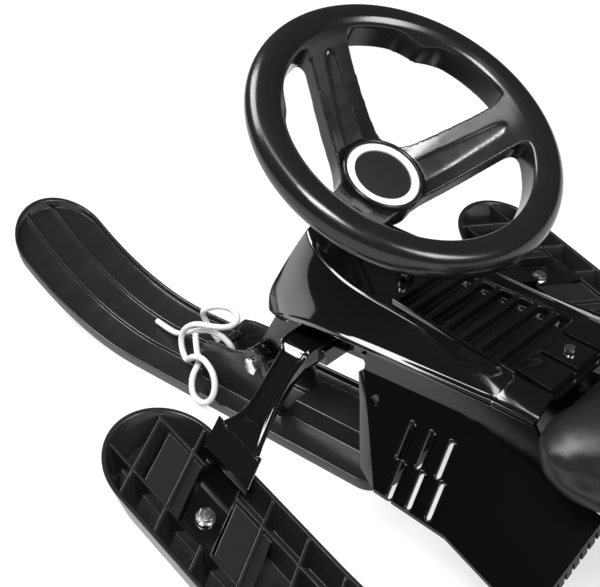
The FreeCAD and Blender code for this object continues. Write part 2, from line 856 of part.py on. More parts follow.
def cross_bolt_places():
    middle = (d.arm_root_low + d.arm_root_high) / 2
    places = []
    for front in (d.arm_root_front_x, d.rear_arm_front_x):
        places.append((front - d.cross_bolt_inset, middle))
        places.append((front - d.arm_root_length + d.cross_bolt_inset, middle))
    return places


def seat_screw_places():
    places = []
    for x in (d.seat_front_x - d.seat_screw_inset, d.seat_rear_x + d.seat_screw_inset * 2):
        for y in (d.seat_screw_y, -d.seat_screw_y):
            places.append((x, y))
    return places


# Cowl: a shell lofted through upright sections, open below, with an opening for the vent insert

def section_points(section, inset, below):
    x, lip, lip_z, shoulder, shoulder_z, top, top_z = section
    lip = lip - inset
    shoulder = shoulder - inset
    top = top - inset / 2
    return [
        (-lip, lip_z - below),
        (lip, lip_z - below),
        (shoulder, shoulder_z - inset / 2),
        (top, top_z - inset),
        (-top, top_z - inset),
        (-shoulder, shoulder_z - inset / 2),
    ]


def insert_plan(fit, front_x, rear_x):
    length = d.insert_front_x - d.insert_rear_x
    spread = d.insert_rear_half - d.insert_front_half
    points = []
    for x, side in ((front_x, 1), (rear_x, 1), (rear_x, -1), (front_x, -1)):
        half = d.insert_front_half + spread * ((d.insert_front_x - x) / length) + fit
        points.append((x, half * side))
    return points


def make_cowl():
    body = new_body("cowl")
    outer = []
    inner = []
    wall = d.cowl_wall.value
    for index, section in enumerate(cowl_sections):
        sketch = new_sketch(body, "cowl_outer_%d" % index, "YZ_Plane", section[0])
        draw_outline(sketch, section_points(section, 0, 0))
        outer.append(sketch)
    loft(body, "AdditiveLoft", outer)
    doc.recompute()
    for index, section in enumerate(cowl_sections):
        x = section[0]
        if index == 0:
            x = x - wall
        if index == len(cowl_sections) - 1:
            x = x + wall
        sketch = new_sketch(body, "cowl_inner_%d" % index, "YZ_Plane", x)
        draw_outline(sketch, section_points(section, wall, wall))
        inner.append(sketch)
    loft(body, "SubtractiveLoft", inner)
    doc.recompute()
    opening = new_sketch(body, "insert_opening", "XY_Plane", d.lip_z)
    fit = d.insert_fit
    draw_outline(opening, insert_plan(fit, d.insert_front_x + fit, d.insert_rear_x - fit))
    pocket(body, opening, d.lip_z, reverse=True)
    column_cylinder(
        body, "Subtractive", "column_opening", d.head_radius + d.end_float,
        d.head_top - d.wheel_radius / 2, d.head_top + d.wheel_radius / 2,
    )
    screw = new_sketch(body, "front_screw_hole", "XY_Plane", d.lip_z)
    draw_circle(screw, d.post_front_x, 0, d.screw_radius + d.screw_fit)
    pocket(body, screw, d.lip_z, reverse=True)


def insert_level(x):
    return cowl_top(x) - d.insert_drop.value


def insert_strip(body, name, front_x, rear_x, low, high):
    sketch = new_sketch(body, name, "XZ_Plane")
    front = insert_level(number(front_x))
    back = insert_level(number(rear_x))
    draw_outline(sketch, [
        (rear_x, back + number(low)),
        (front_x, front + number(low)),
        (front_x, front + number(high)),
        (rear_x, back + number(high)),
    ])
    return sketch


def trim_to_plan(body, name, front_x, rear_x):
    plan = new_sketch(body, name, "XY_Plane")
    near = insert_plan(Size("0", 0.0), front_x, rear_x)
    wide = d.insert_rear_half * 2
    for side in (1, -1):
        left = near[:2] if side == 1 else near[3:1:-1]
        draw_outline(plan, [left[0], left[1], (rear_x, wide * side), (front_x, wide * side)])
    pocket(body, plan)


def make_cowl_insert():
    grille = new_body("vent_grille")
    thick = d.insert_thick
    strip = insert_strip(grille, "grille_strip", d.insert_front_x, d.insert_split_x, -thick, thick)
    pad(grille, strip, d.insert_rear_half * 4)
    doc.recompute()
    trim_to_plan(grille, "grille_sides", d.insert_front_x, d.insert_split_x)
    doc.recompute()
    gaps = new_sketch(grille, "grille_gaps", "XY_Plane")
    margin = d.insert_thick
    pitch = (d.insert_front_x - d.insert_split_x - margin) / (d.slat_count + 1)
    for index in range(int(d.slat_count.value) + 1):
        front = d.insert_front_x - margin - pitch * index
        back = front - pitch + d.slat_width
        draw_outline(gaps, insert_plan(-margin, front, back))
    pocket(grille, gaps)
    doc.recompute()
    tray = insert_strip(
        grille, "grille_floor", d.insert_front_x, d.insert_split_x, -d.insert_thick * 1.5, -d.insert_thick
    )
    pad(grille, tray, d.insert_rear_half * 4)
    doc.recompute()
    trim_to_plan(grille, "grille_floor_sides", d.insert_front_x, d.insert_split_x)
    pads = new_body("cowl_pads")
    gap_x = d.insert_split_x - d.insert_fit
    strip = insert_strip(pads, "pads_strip", gap_x, d.insert_rear_x, -d.insert_thick, d.pad_rise)
    pad(pads, strip, d.insert_rear_half * 4)
    doc.recompute()
    trim_to_plan(pads, "pads_sides", gap_x, d.insert_rear_x)
    doc.recompute()
    groove_floor = insert_level(d.insert_rear_x.value) + d.insert_thick.value
    groove = new_sketch(pads, "pad_grooves", "XY_Plane", groove_floor)
    for side in (1, -1):
        middle = d.insert_rear_half / 3 * side
        draw_outline(groove, rectangle(
            d.insert_rear_x - d.insert_fit, d.insert_split_x + d.insert_fit,
            middle - d.pad_groove / 2, middle + d.pad_groove / 2,
        ))
    pocket(pads, groove, d.lip_z, reverse=True)
    hole = new_sketch(pads, "pad_screw_hole", "XY_Plane")
    draw_circle(hole, d.post_rear_x, 0, d.screw_radius + d.screw_fit)
    pocket(pads, hole)


def vertical_screw(x, y, seat, depth):
    shank = Part.makeCylinder(d.screw_radius.value, depth, Vector(x, y, seat - depth))
    head = Part.makeCylinder(d.screw_head_radius.value, d.screw_head_height.value, Vector(x, y, seat))
    return one_solid(shank.fuse(head))


def make_screws():
    depth = d.screw_radius.value * 7
    high_side = d.screw_head_radius.value
    gap = d.seat_gap.value
    pad_top = insert_level(d.post_rear_x.value + high_side) + d.pad_rise.value
    cowl_screws = [
        vertical_screw(d.post_front_x.value, 0, cowl_top(d.post_front_x.value + high_side) + gap, depth),
        vertical_screw(d.post_rear_x.value, 0, pad_top + gap, depth * 1.3),
    ]
    new_piece("cowl_screws", Part.makeCompound(cowl_screws))
    top = d.beam_top.value + d.seat_gap.value + d.seat_base_thick.value - d.screw_head_height.value
    seat_screws = [vertical_screw(number(x), number(y), top, depth / 1.4) for x, y in seat_screw_places()]
    new_piece("seat_screws", Part.makeCompound(seat_screws))


# Side skis: long troughs with crossed ribs, flat behind and rising to a round nose

def board_runs():
    tail = math.radians(d.tail_angle.value)
    rise = math.radians(d.board_rise.value)
    tangent = d.board_bend_radius.value * math.tan(rise / 2)
    rear = Vector(d.board_rear_x.value, 0, d.tail_radius.value * (1 - math.cos(tail)))
    flat = d.board_bend_x.value - tangent - d.board_rear_x.value - d.tail_radius.value * math.sin(tail)
    slope_start = d.board_bend_x.value + tangent * math.cos(rise)
    slope = (d.board_tip_x.value + d.board_rim.value - slope_start) / math.cos(rise)
    runs = [
        ("arc", d.tail_radius.value, d.tail_angle.value),
        ("line", flat, 0),
        ("arc", d.board_bend_radius.value, d.board_rise.value),
        ("line", slope, 0),
    ]
    return rear, runs


def board_strip(low, high):
    rear, runs = board_runs()
    side = d.board_inner_y.value
    return runner_strip(rear, -d.tail_angle.value, runs, low, high, side, side + d.board_width.value)


def skew_plate(x, low, high, y_low, y_high, half):
    # A plate at x on the board's slope whose ends slant with the ribs; x is taken at the middle of the board.
    middle = d.board_inner_y.value + d.board_width.value / 2
    rise = d.board_rise.value if x > d.board_bend_x.value else 0
    foot_z = (x - d.board_bend_x.value) * math.tan(math.radians(rise)) if rise else 0
    stretch = 1 / math.cos(math.radians(rise))
    corners = []
    for side, y in ((-1, y_low), (1, y_low), (1, y_high), (-1, y_high)):
        corners.append(Vector((side * half - d.rib_skew.value * (y - middle)) * stretch, y, low))
    plate = Part.Face(Part.makePolygon(corners + corners[:1])).extrude(Vector(0, 0, high - low))
    plate.rotate(Vector(), Vector(0, 1, 0), -rise)
    plate.translate(Vector(x, 0, foot_z))
    return plate


def board_rod(x, y, radius, low, high):
    rise = d.board_rise.value if x > d.board_bend_x.value else 0
    foot_z = (x - d.board_bend_x.value) * math.tan(math.radians(rise)) if rise else 0
    rod = Part.makeCylinder(radius, high - low, Vector(0, y, low))
    rod.rotate(Vector(), Vector(0, 1, 0), -rise)
    rod.translate(Vector(x, 0, foot_z))
    return rod


def board_hex(x, y, width, low, high):
    points = []
    for step in range(7):
        turn = math.radians(60 * step)
        points.append(Vector(math.cos(turn), math.sin(turn), 0) * (width / math.sqrt(3)) + Vector(0, y, low))
    rise = d.board_rise.value if x > d.board_bend_x.value else 0
    foot_z = (x - d.board_bend_x.value) * math.tan(math.radians(rise)) if rise else 0
    rod = Part.Face(Part.makePolygon(points)).extrude(Vector(0, 0, high - low))
    rod.rotate(Vector(), Vector(0, 1, 0), -rise)
    rod.translate(Vector(x, 0, foot_z))
    return rod


def mirrored(shape):
    return shape.mirror(Vector(), Vector(0, 1, 0))


def board_ribs(middle, tall):
    # Slanting ribs at an even pitch, and two rails along the board.
    half = d.board_width.value / 2
    count = int((d.board_tip_x.value - d.board_rear_x.value) / d.rib_pitch.value) + 2
    thick = d.rib_thick.value / 2
    rail = d.rib_rail.value
    rear = d.board_rear_x.value
    tip = d.board_tip_x.value
    ribs = block(rear, tip, middle - rail - thick, middle - rail + thick, 0, tall)
    bars = [block(rear, tip, middle + rail - thick, middle + rail + thick, 0, tall)]
    for index in range(-1, count):
        x = d.rib_first_x.value - d.rib_pitch.value * index
        lean = half * d.rib_skew.value
        corners = [
            Vector(x + lean - thick, middle - half, 0),
            Vector(x + lean + thick, middle - half, 0),
            Vector(x - lean + thick, middle + half, 0),
            Vector(x - lean - thick, middle + half, 0),
        ]
        bars.append(Part.Face(Part.makePolygon(corners + corners[:1])).extrude(Vector(0, 0, tall)))
    return ribs.multiFuse(bars)


def make_side_skis():
    wall = d.board_wall.value
    half = d.board_width.value / 2
    middle = d.board_inner_y.value + half
    tall = d.wheel_radius.value * 2
    corner = half / 2
    nose = d.board_nose.value
    plan = runner_plan(d.board_rear_x.value + 1, d.board_tip_x.value, middle, half, nose, corner, tall)
    inset = runner_plan(
        d.board_rear_x.value + 1 + wall, d.board_tip_x.value - wall, middle, half - wall, nose - wall,
        corner - wall, tall,
    )
    trough = board_strip(d.board_base.value, d.board_rim.value + wall).common(inset)
    board = board_strip(0, d.board_rim.value).common(plan).cut(trough)
    rib_room = board_strip(d.board_base.value / 2, d.board_rim.value - d.rib_drop.value).common(inset)
    ribs = board_ribs(middle, tall).common(rib_room)
    fill_room = board_strip(d.board_base.value / 2, d.board_rim.value - d.rib_drop.value * 3).common(inset)
    rail = d.rib_rail.value
    room = d.rib_pitch.value / 2 - d.rib_thick.value / 2
    for x in (d.board_bolt_x.value, d.rear_bolt_x.value):
        space = skew_plate(x, d.board_base.value, tall, d.board_inner_y.value, middle + rail, room)
        ribs = ribs.cut(space)
        for step in (1, -1):
            near = x + step * d.rib_pitch.value
            cell = skew_plate(near, 0, tall, middle - rail, middle + rail, d.rib_pitch.value / 2)
            ribs = ribs.fuse(cell.common(fill_room))
    board = board.fuse(ribs)
    hole = d.board_bolt_radius.value + d.screw_fit.value
    for x in (d.board_bolt_x.value, d.rear_bolt_x.value):
        board = board.cut(board_rod(x, d.board_bolt_y.value, hole, -d.board_rim.value, d.board_rim.value))
        sink = d.nut_width.value / 2
        board = board.cut(board_rod(x, d.board_bolt_y.value, sink, -d.board_rim.value, d.board_base.value / 2))
    board = one_solid(board)
    new_piece("side_ski_left", board)
    new_piece("side_ski_right", mirrored(board))


# Arms: from the beam's side out to a saddle over the board's inner rim and a tongue in its trough

def arm_section(x, z, width, depth, y):
    points = [
        Vector(x - width / 2, y, z - depth / 2),
        Vector(x + width / 2, y, z - depth / 2),
        Vector(x + width / 2, y, z + depth / 6),
        Vector(x + width / 5, y, z + depth / 2),
        Vector(x - width / 5, y, z + depth / 2),
        Vector(x - width / 2, y, z + depth / 6),
    ]
    return Part.makePolygon(points + points[:1])


def make_arm(front_x, bolt_x):
    base = d.board_base.value + d.seat_gap.value
    rim_top = d.board_rim.value + d.seat_gap.value
    inside = d.board_inner_y.value + d.board_wall.value + d.seat_gap.value * 2
    root_x = front_x - d.arm_root_length.value / 2
    root_z = (d.arm_root_low.value + d.arm_root_high.value) / 2
    root_depth = d.arm_root_high.value - d.arm_root_low.value
    saddle_y = d.saddle_inner_y.value
    saddle = skew_plate(
        bolt_x, rim_top, rim_top + d.saddle_thick.value, saddle_y, d.saddle_outer_y.value, d.saddle_half.value
    )
    web = skew_plate(
        bolt_x, base, rim_top + d.saddle_thick.value / 2, inside, d.saddle_outer_y.value, d.tongue_half.value
    )
    tongue = skew_plate(
        bolt_x, base, base + d.tongue_thick.value, inside, d.tongue_end_y.value, d.tongue_half.value
    )
    corners = [vertex.Point for vertex in saddle.Vertexes if abs(vertex.Point.y - saddle_y) < 0.1]
    end_x = sum(corner.x for corner in corners) / len(corners)
    end_z = sum(corner.z for corner in corners) / len(corners)
    root = d.beam_half.value + d.seat_gap.value
    flange = root + d.arm_flange.value
    waist_y = d.arm_waist_y.value
    waist_x = d.arm_waist_x.value + front_x - d.arm_root_front_x.value
    waist_z = d.arm_waist_z.value
    if bolt_x < d.board_bend_x.value:
        share = (waist_y - flange) / (saddle_y - flange)
        waist_x = root_x + (end_x - root_x) * share
        waist_z = root_z + (end_z + d.saddle_thick.value - root_z) * share
    sections = [
        arm_section(root_x, root_z, d.arm_root_length.value, root_depth, root),
        arm_section(root_x, root_z, d.arm_root_length.value, root_depth, flange),
        arm_section(root_x, root_z, d.arm_pad_width.value, root_depth, d.arm_pad_y.value),
        arm_section(waist_x, waist_z, d.arm_waist_width.value, d.arm_waist_depth.value, waist_y),
        arm_section(end_x, end_z, d.saddle_half.value * 1.6, d.saddle_thick.value * 1.1, saddle_y + 2),
    ]
    arm = Part.makeLoft(sections, True, True)
    arm = arm.fuse(saddle).fuse(web).fuse(tongue)
    hole = d.board_bolt_radius.value + d.screw_fit.value
    arm = arm.cut(board_rod(bolt_x, d.board_bolt_y.value, hole, 0, d.board_rim.value))
    for x, z in cross_bolt_places():
        radius = d.cross_bolt_radius.value + d.screw_fit.value
        head = d.bolt_head_width.value / math.sqrt(3) + 1
        arm = arm.cut(cross_rod(number(x), number(z), radius, 0, flange))
        arm = arm.cut(cross_rod(number(x), number(z), head, flange, d.arm_pad_y.value - d.arm_flange.value))
    return one_solid(arm)


def make_arms():
    arms = (
        ("front_arm", d.arm_root_front_x.value, d.board_bolt_x.value),
        ("rear_arm", d.rear_arm_front_x.value, d.rear_bolt_x.value),
    )
    for name, front_x, bolt_x in arms:
        arm = make_arm(front_x, bolt_x)
        new_piece(name + "_left", arm)
        new_piece(name + "_right", mirrored(arm))
    bolts = []
    nuts = []
    seat = d.board_base.value + d.seat_gap.value + d.tongue_thick.value
    nut_top = d.board_base.value / 2 - d.seat_gap.value / 2
    nut_low = nut_top - d.board_nut_height.value / 4
    for x in (d.board_bolt_x.value, d.rear_bolt_x.value):
        y = d.board_bolt_y.value
        collar = board_rod(x, y, d.bolt_head_width.value / 2, seat, seat + d.bolt_head_height.value / 3)
        head = board_hex(x, y, d.bolt_head_width.value * 0.72, seat, seat + d.bolt_head_height.value).fuse(collar)
        shank = board_rod(x, y, d.board_bolt_radius.value, nut_low, seat + 1)
        plate = board_rod(x, y, d.nut_width.value / 2 - d.screw_fit.value, nut_low, nut_top)
        bore = d.board_bolt_radius.value + d.screw_fit.value / 2
        plate = plate.cut(board_rod(x, y, bore, nut_low - 1, nut_top + 1))
        for turn in (lambda shape: shape, mirrored):
            bolts.append(turn(one_solid(head.fuse(shank))))
            nuts.append(turn(one_solid(plate)))
    new_piece("board_bolts", Part.makeCompound(bolts))
    new_piece("board_bolt_plates", Part.makeCompound(nuts))
    reach = d.beam_half.value + d.seat_gap.value + d.arm_flange.value
    long_bolts = []
    long_nuts = []
    for x, z in cross_bolt_places():
        x = number(x)
        z = number(z)
        end = reach + d.board_nut_height.value + 1
        width = d.bolt_head_width.value * 0.76
        head = hex_rod(x, z, width, reach, reach + d.bolt_head_height.value)
        shank = cross_rod(x, z, d.cross_bolt_radius.value, -end, reach + 1)
        long_bolts.append(one_solid(head.fuse(shank)))
        nut = hex_rod(x, z, width, -reach - d.board_nut_height.value, -reach)
        hole = d.cross_bolt_radius.value + d.screw_fit.value / 2
        long_nuts.append(one_solid(nut.cut(cross_rod(x, z, hole, -end - 1, 0))))
    new_piece("arm_cross_bolts", Part.makeCompound(long_bolts))
    new_piece("arm_cross_nuts", Part.makeCompound(long_nuts))


# Foot brake: one pressed plate with a slotted wing on each side, swinging on a cross rod

def sheet_facet(points, thickness):
    corners = [Vector(*point) for point in points]
    face = Part.Face(Part.makePolygon(corners + corners[:1]))
    return face.extrude(Vector(0, 0, -thickness))


def make_brake():
    sheet = d.brake_sheet.value
    drop = sheet * math.hypot(1, d.wing_slope.value)
    inner = d.brake_inner_y.value + sheet
    top = d.wing_top.value

    def level(y):
        return top - d.wing_slope.value * (y - inner)

    front = (d.wing_front_x.value, inner, top)
    corner = (d.wing_corner_x.value, d.wing_corner_y.value, level(d.wing_corner_y.value))
    crease = (d.wing_crease_x.value, d.wing_crease_y.value, level(d.wing_crease_y.value))
    slant = (d.wing_crease_y.value - inner) / 2.2
    bend = (d.wing_crease_x.value + slant, inner, top)
    rear = (d.wing_rear_x.value, inner, top - d.wing_rear_drop.value)
    along = Vector(*crease) - Vector(*bend)
    back = Vector(*rear) - Vector(*bend)
    normal = along.cross(back)
    tail_z = bend[2] - (
        normal.x * (d.wing_tail_x.value - bend[0]) + normal.y * (d.wing_tail_y.value - bend[1])
    ) / normal.z
    tail = (d.wing_tail_x.value, d.wing_tail_y.value, tail_z)
    wing = sheet_facet([front, corner, crease, bend], drop).fuse(sheet_facet([bend, crease, tail, rear], drop))
    grip = d.brake_rod_radius.value * 3
    ear = side_plate([
        (d.brake_axis_x.value - grip, d.brake_axis_z.value - grip),
        (d.brake_axis_x.value + grip, d.brake_axis_z.value - grip),
        (d.wing_front_x.value, top),
        (bend[0], top),
        (bend[0], top - drop * 3),
    ], d.brake_inner_y.value, inner)
    rib = side_plate([
        (bend[0], top),
        (rear[0], rear[2]),
        (rear[0], rear[2] - drop),
        (bend[0] + drop * 2, top - drop * 2),
    ], d.brake_inner_y.value, inner)
    wall_z = top - (bend[0] - d.wing_wall_rear_x.value) / (bend[0] - rear[0]) * d.wing_rear_drop.value
    wall = side_plate([
        (d.wing_front_x.value, top - drop),
        (d.wing_front_x.value - drop * 2, d.wing_wall_top.value),
        (d.cowl_rear_x.value + drop * 3, d.wing_wall_top.value),
        (d.wing_wall_rear_x.value, wall_z - sheet / 2),
        (bend[0], top - drop),
    ], d.brake_inner_y.value, inner)
    wing = wing.fuse(ear).fuse(rib).fuse(wall)
    edge = Vector(*tail) - Vector(*rear)
    teeth = int(edge.Length / d.tooth_pitch.value)
    for index in range(teeth):
        start = Vector(*rear) + edge * (index / teeth)
        end = Vector(*rear) + edge * ((index + 0.7) / teeth)
        down = Vector(0, 0, d.tooth_drop.value + drop)
        points = [start, end, end - down, start - down]
        face = Part.Face(Part.makePolygon(points + points[:1]))
        wing = wing.fuse(face.extrude(Vector(sheet, 0, 0)))
    reach = d.wheel_radius.value
    for row in range(2):
        y = d.slot_row_y.value + d.slot_row_step.value * row
        for index in range(3):
            x = d.slot_first_x.value - d.slot_pitch.value * index - d.slot_width.value * row
            long = d.slot_length.value / math.hypot(1, d.wing_slope.value) / 2
            wide = d.slot_width.value / 2
            slot = block(x - wide, x + wide, y - long, y + long, 0, reach * 2)
            ends = [Part.makeCylinder(wide, reach * 2, Vector(x, y + side * long, 0)) for side in (1, -1)]
            wing = wing.cut(slot.fuse(ends[0]).fuse(ends[1]))
    bar_x = rear[0] + d.brake_bar_radius.value * 3
    bar_z = rear[2]
    bar = cross_rod(bar_x, bar_z, d.brake_bar_radius.value, -inner, inner)
    plate = wing.fuse(mirrored(wing)).fuse(bar)
    hole = d.brake_rod_radius.value + d.brake_fit.value
    plate = plate.cut(cross_rod(d.brake_axis_x.value, d.brake_axis_z.value, hole, -reach, reach))
    new_piece("brake_plate", one_solid(plate))
    rod = new_body("brake_rod")
    section = new_sketch(rod, "brake_rod_section", "XZ_Plane")
    draw_circle(section, d.brake_axis_x, d.brake_axis_z, d.brake_rod_radius)
    pad(rod, section, d.brake_rod_half * 2)
    caps = []
    half = d.brake_rod_half.value
    overlap = d.cap_length.value - d.cap_wall.value
    for side in (1, -1):
        low, high = sorted((side * (half - overlap), side * (half + d.cap_wall.value)))
        axle = (d.brake_axis_x.value, d.brake_axis_z.value)
        cap = cross_rod(*axle, d.brake_rod_radius.value + d.cap_wall.value, low, high)
        caps.append(cap.cut(cross_rod(*axle, d.brake_rod_radius.value + d.trim_fit.value / 10, -half, half)))
    new_piece("brake_rod_caps", Part.makeCompound(caps))


# Seat: a moulded base plate and a crowned pad with drawn-in sides

def make_seat():
    base = new_body("seat_base")
    plan = new_sketch(base, "seat_base_plan", "XY_Plane", d.beam_top + d.seat_gap)
    draw_outline(plan, rectangle(
        d.seat_rear_x + d.seat_edge, d.seat_front_x - d.seat_gap, -d.seat_base_half, d.seat_base_half
    ))
    pad(base, plan, d.seat_base_thick, symmetric=False)
    doc.recompute()
    sinks = new_sketch(base, "seat_screw_sinks", "XY_Plane", d.beam_top)
    for x, y in seat_screw_places():
        draw_circle(sinks, x, y, d.screw_radius + d.screw_fit)
    pocket(base, sinks)
    heads = d.beam_top + d.seat_gap + d.seat_base_thick - d.screw_head_height
    wells = new_sketch(base, "seat_screw_wells", "XY_Plane", heads)
    for x, y in seat_screw_places():
        draw_circle(wells, x, y, d.screw_head_radius + d.screw_fit)
    pocket(base, wells, d.seat_base_thick, reverse=True)
    bottom = d.seat_bottom.value
    edge = d.seat_edge.value
    levels = (
        (bottom, edge * 0.6),
        (bottom + d.seat_height.value * 0.3, 0),
        (bottom + d.seat_height.value - d.seat_crown.value - edge / 2, 0),
        (bottom + d.seat_height.value - d.seat_crown.value / 2, edge),
        (bottom + d.seat_height.value, edge * 2.6),
    )
    wires = [seat_outline(z, inset) for z, inset in levels]
    lid = d.beam_top.value + d.seat_gap.value * 2 + d.seat_base_thick.value
    side = d.seat_base_half.value + d.seat_gap.value
    hollow = block(d.seat_rear_x.value, d.seat_front_x.value, -side, side, 0, lid)
    new_piece("seat_pad", one_solid(Part.makeLoft(wires, True, True).cut(hollow)))


def seat_outline(z, inset):
    front = d.seat_front_x.value - inset
    rear = d.seat_rear_x.value + inset
    half = d.seat_half.value - inset
    corner = d.seat_corner.value
    slant = corner * (1 - math.sqrt(0.5))
    draw = d.seat_draw.value
    middle = (front + rear) / 2
    edges = []
    corners = ((front, half, -1, -1), (rear, half, 1, -1), (rear, -half, 1, 1), (front, -half, -1, 1))
    marks = []
    for x, y, to_x, to_y in corners:
        marks.append((
            Vector(x + to_x * corner, y, z),
            Vector(x + to_x * slant, y + to_y * slant, z),
            Vector(x, y + to_y * corner, z),
        ))
    front_left, rear_left, rear_right, front_right = marks
    edges.append(Part.Arc(front_left[2], front_left[1], front_left[0]))
    edges.append(Part.Arc(front_left[0], Vector(middle, half - draw, z), rear_left[0]))
    edges.append(Part.Arc(rear_left[0], rear_left[1], rear_left[2]))
    edges.append(Part.LineSegment(rear_left[2], rear_right[2]))
    edges.append(Part.Arc(rear_right[2], rear_right[1], rear_right[0]))
    edges.append(Part.Arc(rear_right[0], Vector(middle, -half + draw, z), front_right[0]))
    edges.append(Part.Arc(front_right[0], front_right[1], front_right[2]))
    edges.append(Part.LineSegment(front_right[2], front_left[2]))
    return Part.Wire([edge.toShape() for edge in edges])


# Tow rope: one unbroken tube, round the cross bar, wrapped once over itself and out to a hanging loop

rope_route = (
    (346, -8, 12.5),
    (312, -4, 11),
    (286, 1, 20),
    (262, 3, 33),
    (240, 8, 46),
    (222, 4, 51),
    (204, 1, 48),
    (190, -1, 36),
    (201, -5, 22),
    (222, -9, 24),
    (242, -12, 36),
    (248, -9, 54),
    (240, -5, 68),
    (224, -15, 74),
    (205, -23, 71),
    (190, -16, 65),
    (192, -1, 62),
    (210, 8, 62),
    (230, 12, 61),
    (248, 15, 53),
    (260, 18, 39),
    (256, 24, 25),
    (240, 32, 19),
    (223, 39, 28),
    (204, 49, 46),
    (182, 48, 54),
    (161, 51, 41),
    (153, 61, 23),
    (164, 69, 8.5),
    (187, 68, 10),
    (199, 56, 25),
    (198, 42, 37),
    (210, 35, 48),
    (222, 24, 56),
)


def rope_edges(points, diameter):
    corners = [Vector(*point) for point in points]
    edges = []
    radii = []
    start = corners[0]
    for before, corner, after in zip(corners, corners[1:], corners[2:]):
        back = before - corner
        ahead = after - corner
        half = (math.pi - back.getAngle(ahead)) / 2
        trim = 0.45 * min(back.Length, ahead.Length)
        radius = trim / math.tan(half)
        radii.append(radius)
        back.normalize()
        ahead.normalize()
        enter = corner + back * trim
        leave = corner + ahead * trim
        inward = back + ahead
        inward.normalize()
        middle = corner + inward * (radius / math.cos(half) - radius)
        edges.append(Part.makeLine(start, enter))
        edges.append(Part.Arc(enter, middle, leave).toShape())
        start = leave
    edges.append(Part.makeLine(start, corners[-1]))
    print("rope bend radii in diameters:", [round(radius / diameter, 2) for radius in radii])
    return edges


def least_self_gap(wire, diameter):
    points = wire.discretize(Distance=diameter / 4)
    step = wire.Length / (len(points) - 1)
    skip = int(diameter * 3 / step)
    gaps = [
        (points[i] - points[j]).Length
        for i in range(len(points))
        for j in range(i + skip, len(points))
    ]
    return min(gaps) - diameter


def make_rope():
    diameter = d.rope_diameter.value
    wire = Part.Wire(rope_edges(rope_route, diameter))
    ahead = wire.Edges[0].tangentAt(wire.Edges[0].FirstParameter)
    ring = Part.Wire(Part.makeCircle(diameter / 2, Vector(*rope_route[0]), ahead))
    rope = wire.makePipeShell([ring], True, False)
    expected = math.pi * diameter ** 2 / 4 * wire.Length
    print("rope length %.0f, volume %.0f of %.0f, least gap to itself %.2f" % (
        wire.Length, rope.Volume, expected, least_self_gap(wire, diameter)))
    new_piece("tow_rope", one_solid(rope))


make_wheel()
make_column_parts()
make_fork()
make_front_ski()
make_frame()
make_cowl()
make_cowl_insert()
make_screws()
make_side_skis()
make_arms()
make_brake()
make_seat()
make_rope()

doc.recompute()
faults = [item.Name for item in doc.Objects if "Invalid" in item.State or "Error" in item.State]
for piece in pieces:
    if piece.Shape.isNull() or not piece.Shape.isValid() or not piece.Shape.Solids:
        faults.append(piece.Label)
if faults:
    raise RuntimeError("These failed: " + ", ".join(faults))

os.makedirs("parts", exist_ok=True)
for piece in pieces:
    piece.Shape.exportStep("parts/%s.step" % piece.Label)
    box = piece.Shape.BoundBox
    print("%-20s solids %d  volume %9.0f  x %6.1f %6.1f  y %6.1f %6.1f  z %6.1f %6.1f" % (
        piece.Label, len(piece.Shape.Solids), piece.Shape.Volume,
        box.XMin, box.XMax, box.YMin, box.YMax, box.ZMin, box.ZMax,
    ))
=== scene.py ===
import bpy
import bmesh
import json
import math
from mathutils import Matrix, Vector


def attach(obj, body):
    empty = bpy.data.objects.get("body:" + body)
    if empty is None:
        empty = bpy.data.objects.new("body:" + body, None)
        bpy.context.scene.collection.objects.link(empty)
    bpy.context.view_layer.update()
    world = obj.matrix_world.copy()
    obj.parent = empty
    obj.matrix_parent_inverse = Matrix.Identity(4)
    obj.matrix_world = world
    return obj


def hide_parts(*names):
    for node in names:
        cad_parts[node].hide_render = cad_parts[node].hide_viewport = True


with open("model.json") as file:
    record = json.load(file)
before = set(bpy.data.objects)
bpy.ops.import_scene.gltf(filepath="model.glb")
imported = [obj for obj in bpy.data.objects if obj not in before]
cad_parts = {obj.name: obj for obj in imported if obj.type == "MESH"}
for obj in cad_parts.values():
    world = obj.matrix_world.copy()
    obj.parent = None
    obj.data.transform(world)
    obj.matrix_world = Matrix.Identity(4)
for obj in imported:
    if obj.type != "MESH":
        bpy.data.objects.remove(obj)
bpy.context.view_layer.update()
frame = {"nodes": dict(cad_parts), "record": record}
record = frame["record"]
bodyOf = {node: body for body, nodes in record["behaviour"]["bodies"].items() for node in nodes}
slotOf = {item["node"]: item["material_slot"] for item in record["subparts"]}
mm = 0.001
print("frame loaded:", len(frame["nodes"]), "nodes")


# materials
def newMaterial(name, colour, roughness, metallic=0.0):
    material = bpy.data.materials.new(name)
    material.use_nodes = True
    shader = material.node_tree.nodes["Principled BSDF"]
    shader.inputs["Base Color"].default_value = (*colour, 1)
    shader.inputs["Roughness"].default_value = roughness
    shader.inputs["Metallic"].default_value = metallic
    return material, material.node_tree, shader


def addGrain(tree, shader, scale, strength, distance, detail=3.0):
    # fine moulded grain as a bump, in the part's own space
    where = tree.nodes.new("ShaderNodeTexCoord")
    noise = tree.nodes.new("ShaderNodeTexNoise")
    bump = tree.nodes.new("ShaderNodeBump")
    noise.inputs["Scale"].default_value = scale
    noise.inputs["Detail"].default_value = detail
    bump.inputs["Strength"].default_value = strength
    bump.inputs["Distance"].default_value = distance
    tree.links.new(where.outputs["Object"], noise.inputs["Vector"])
    tree.links.new(noise.outputs["Fac"], bump.inputs["Height"])
    tree.links.new(bump.outputs["Normal"], shader.inputs["Normal"])


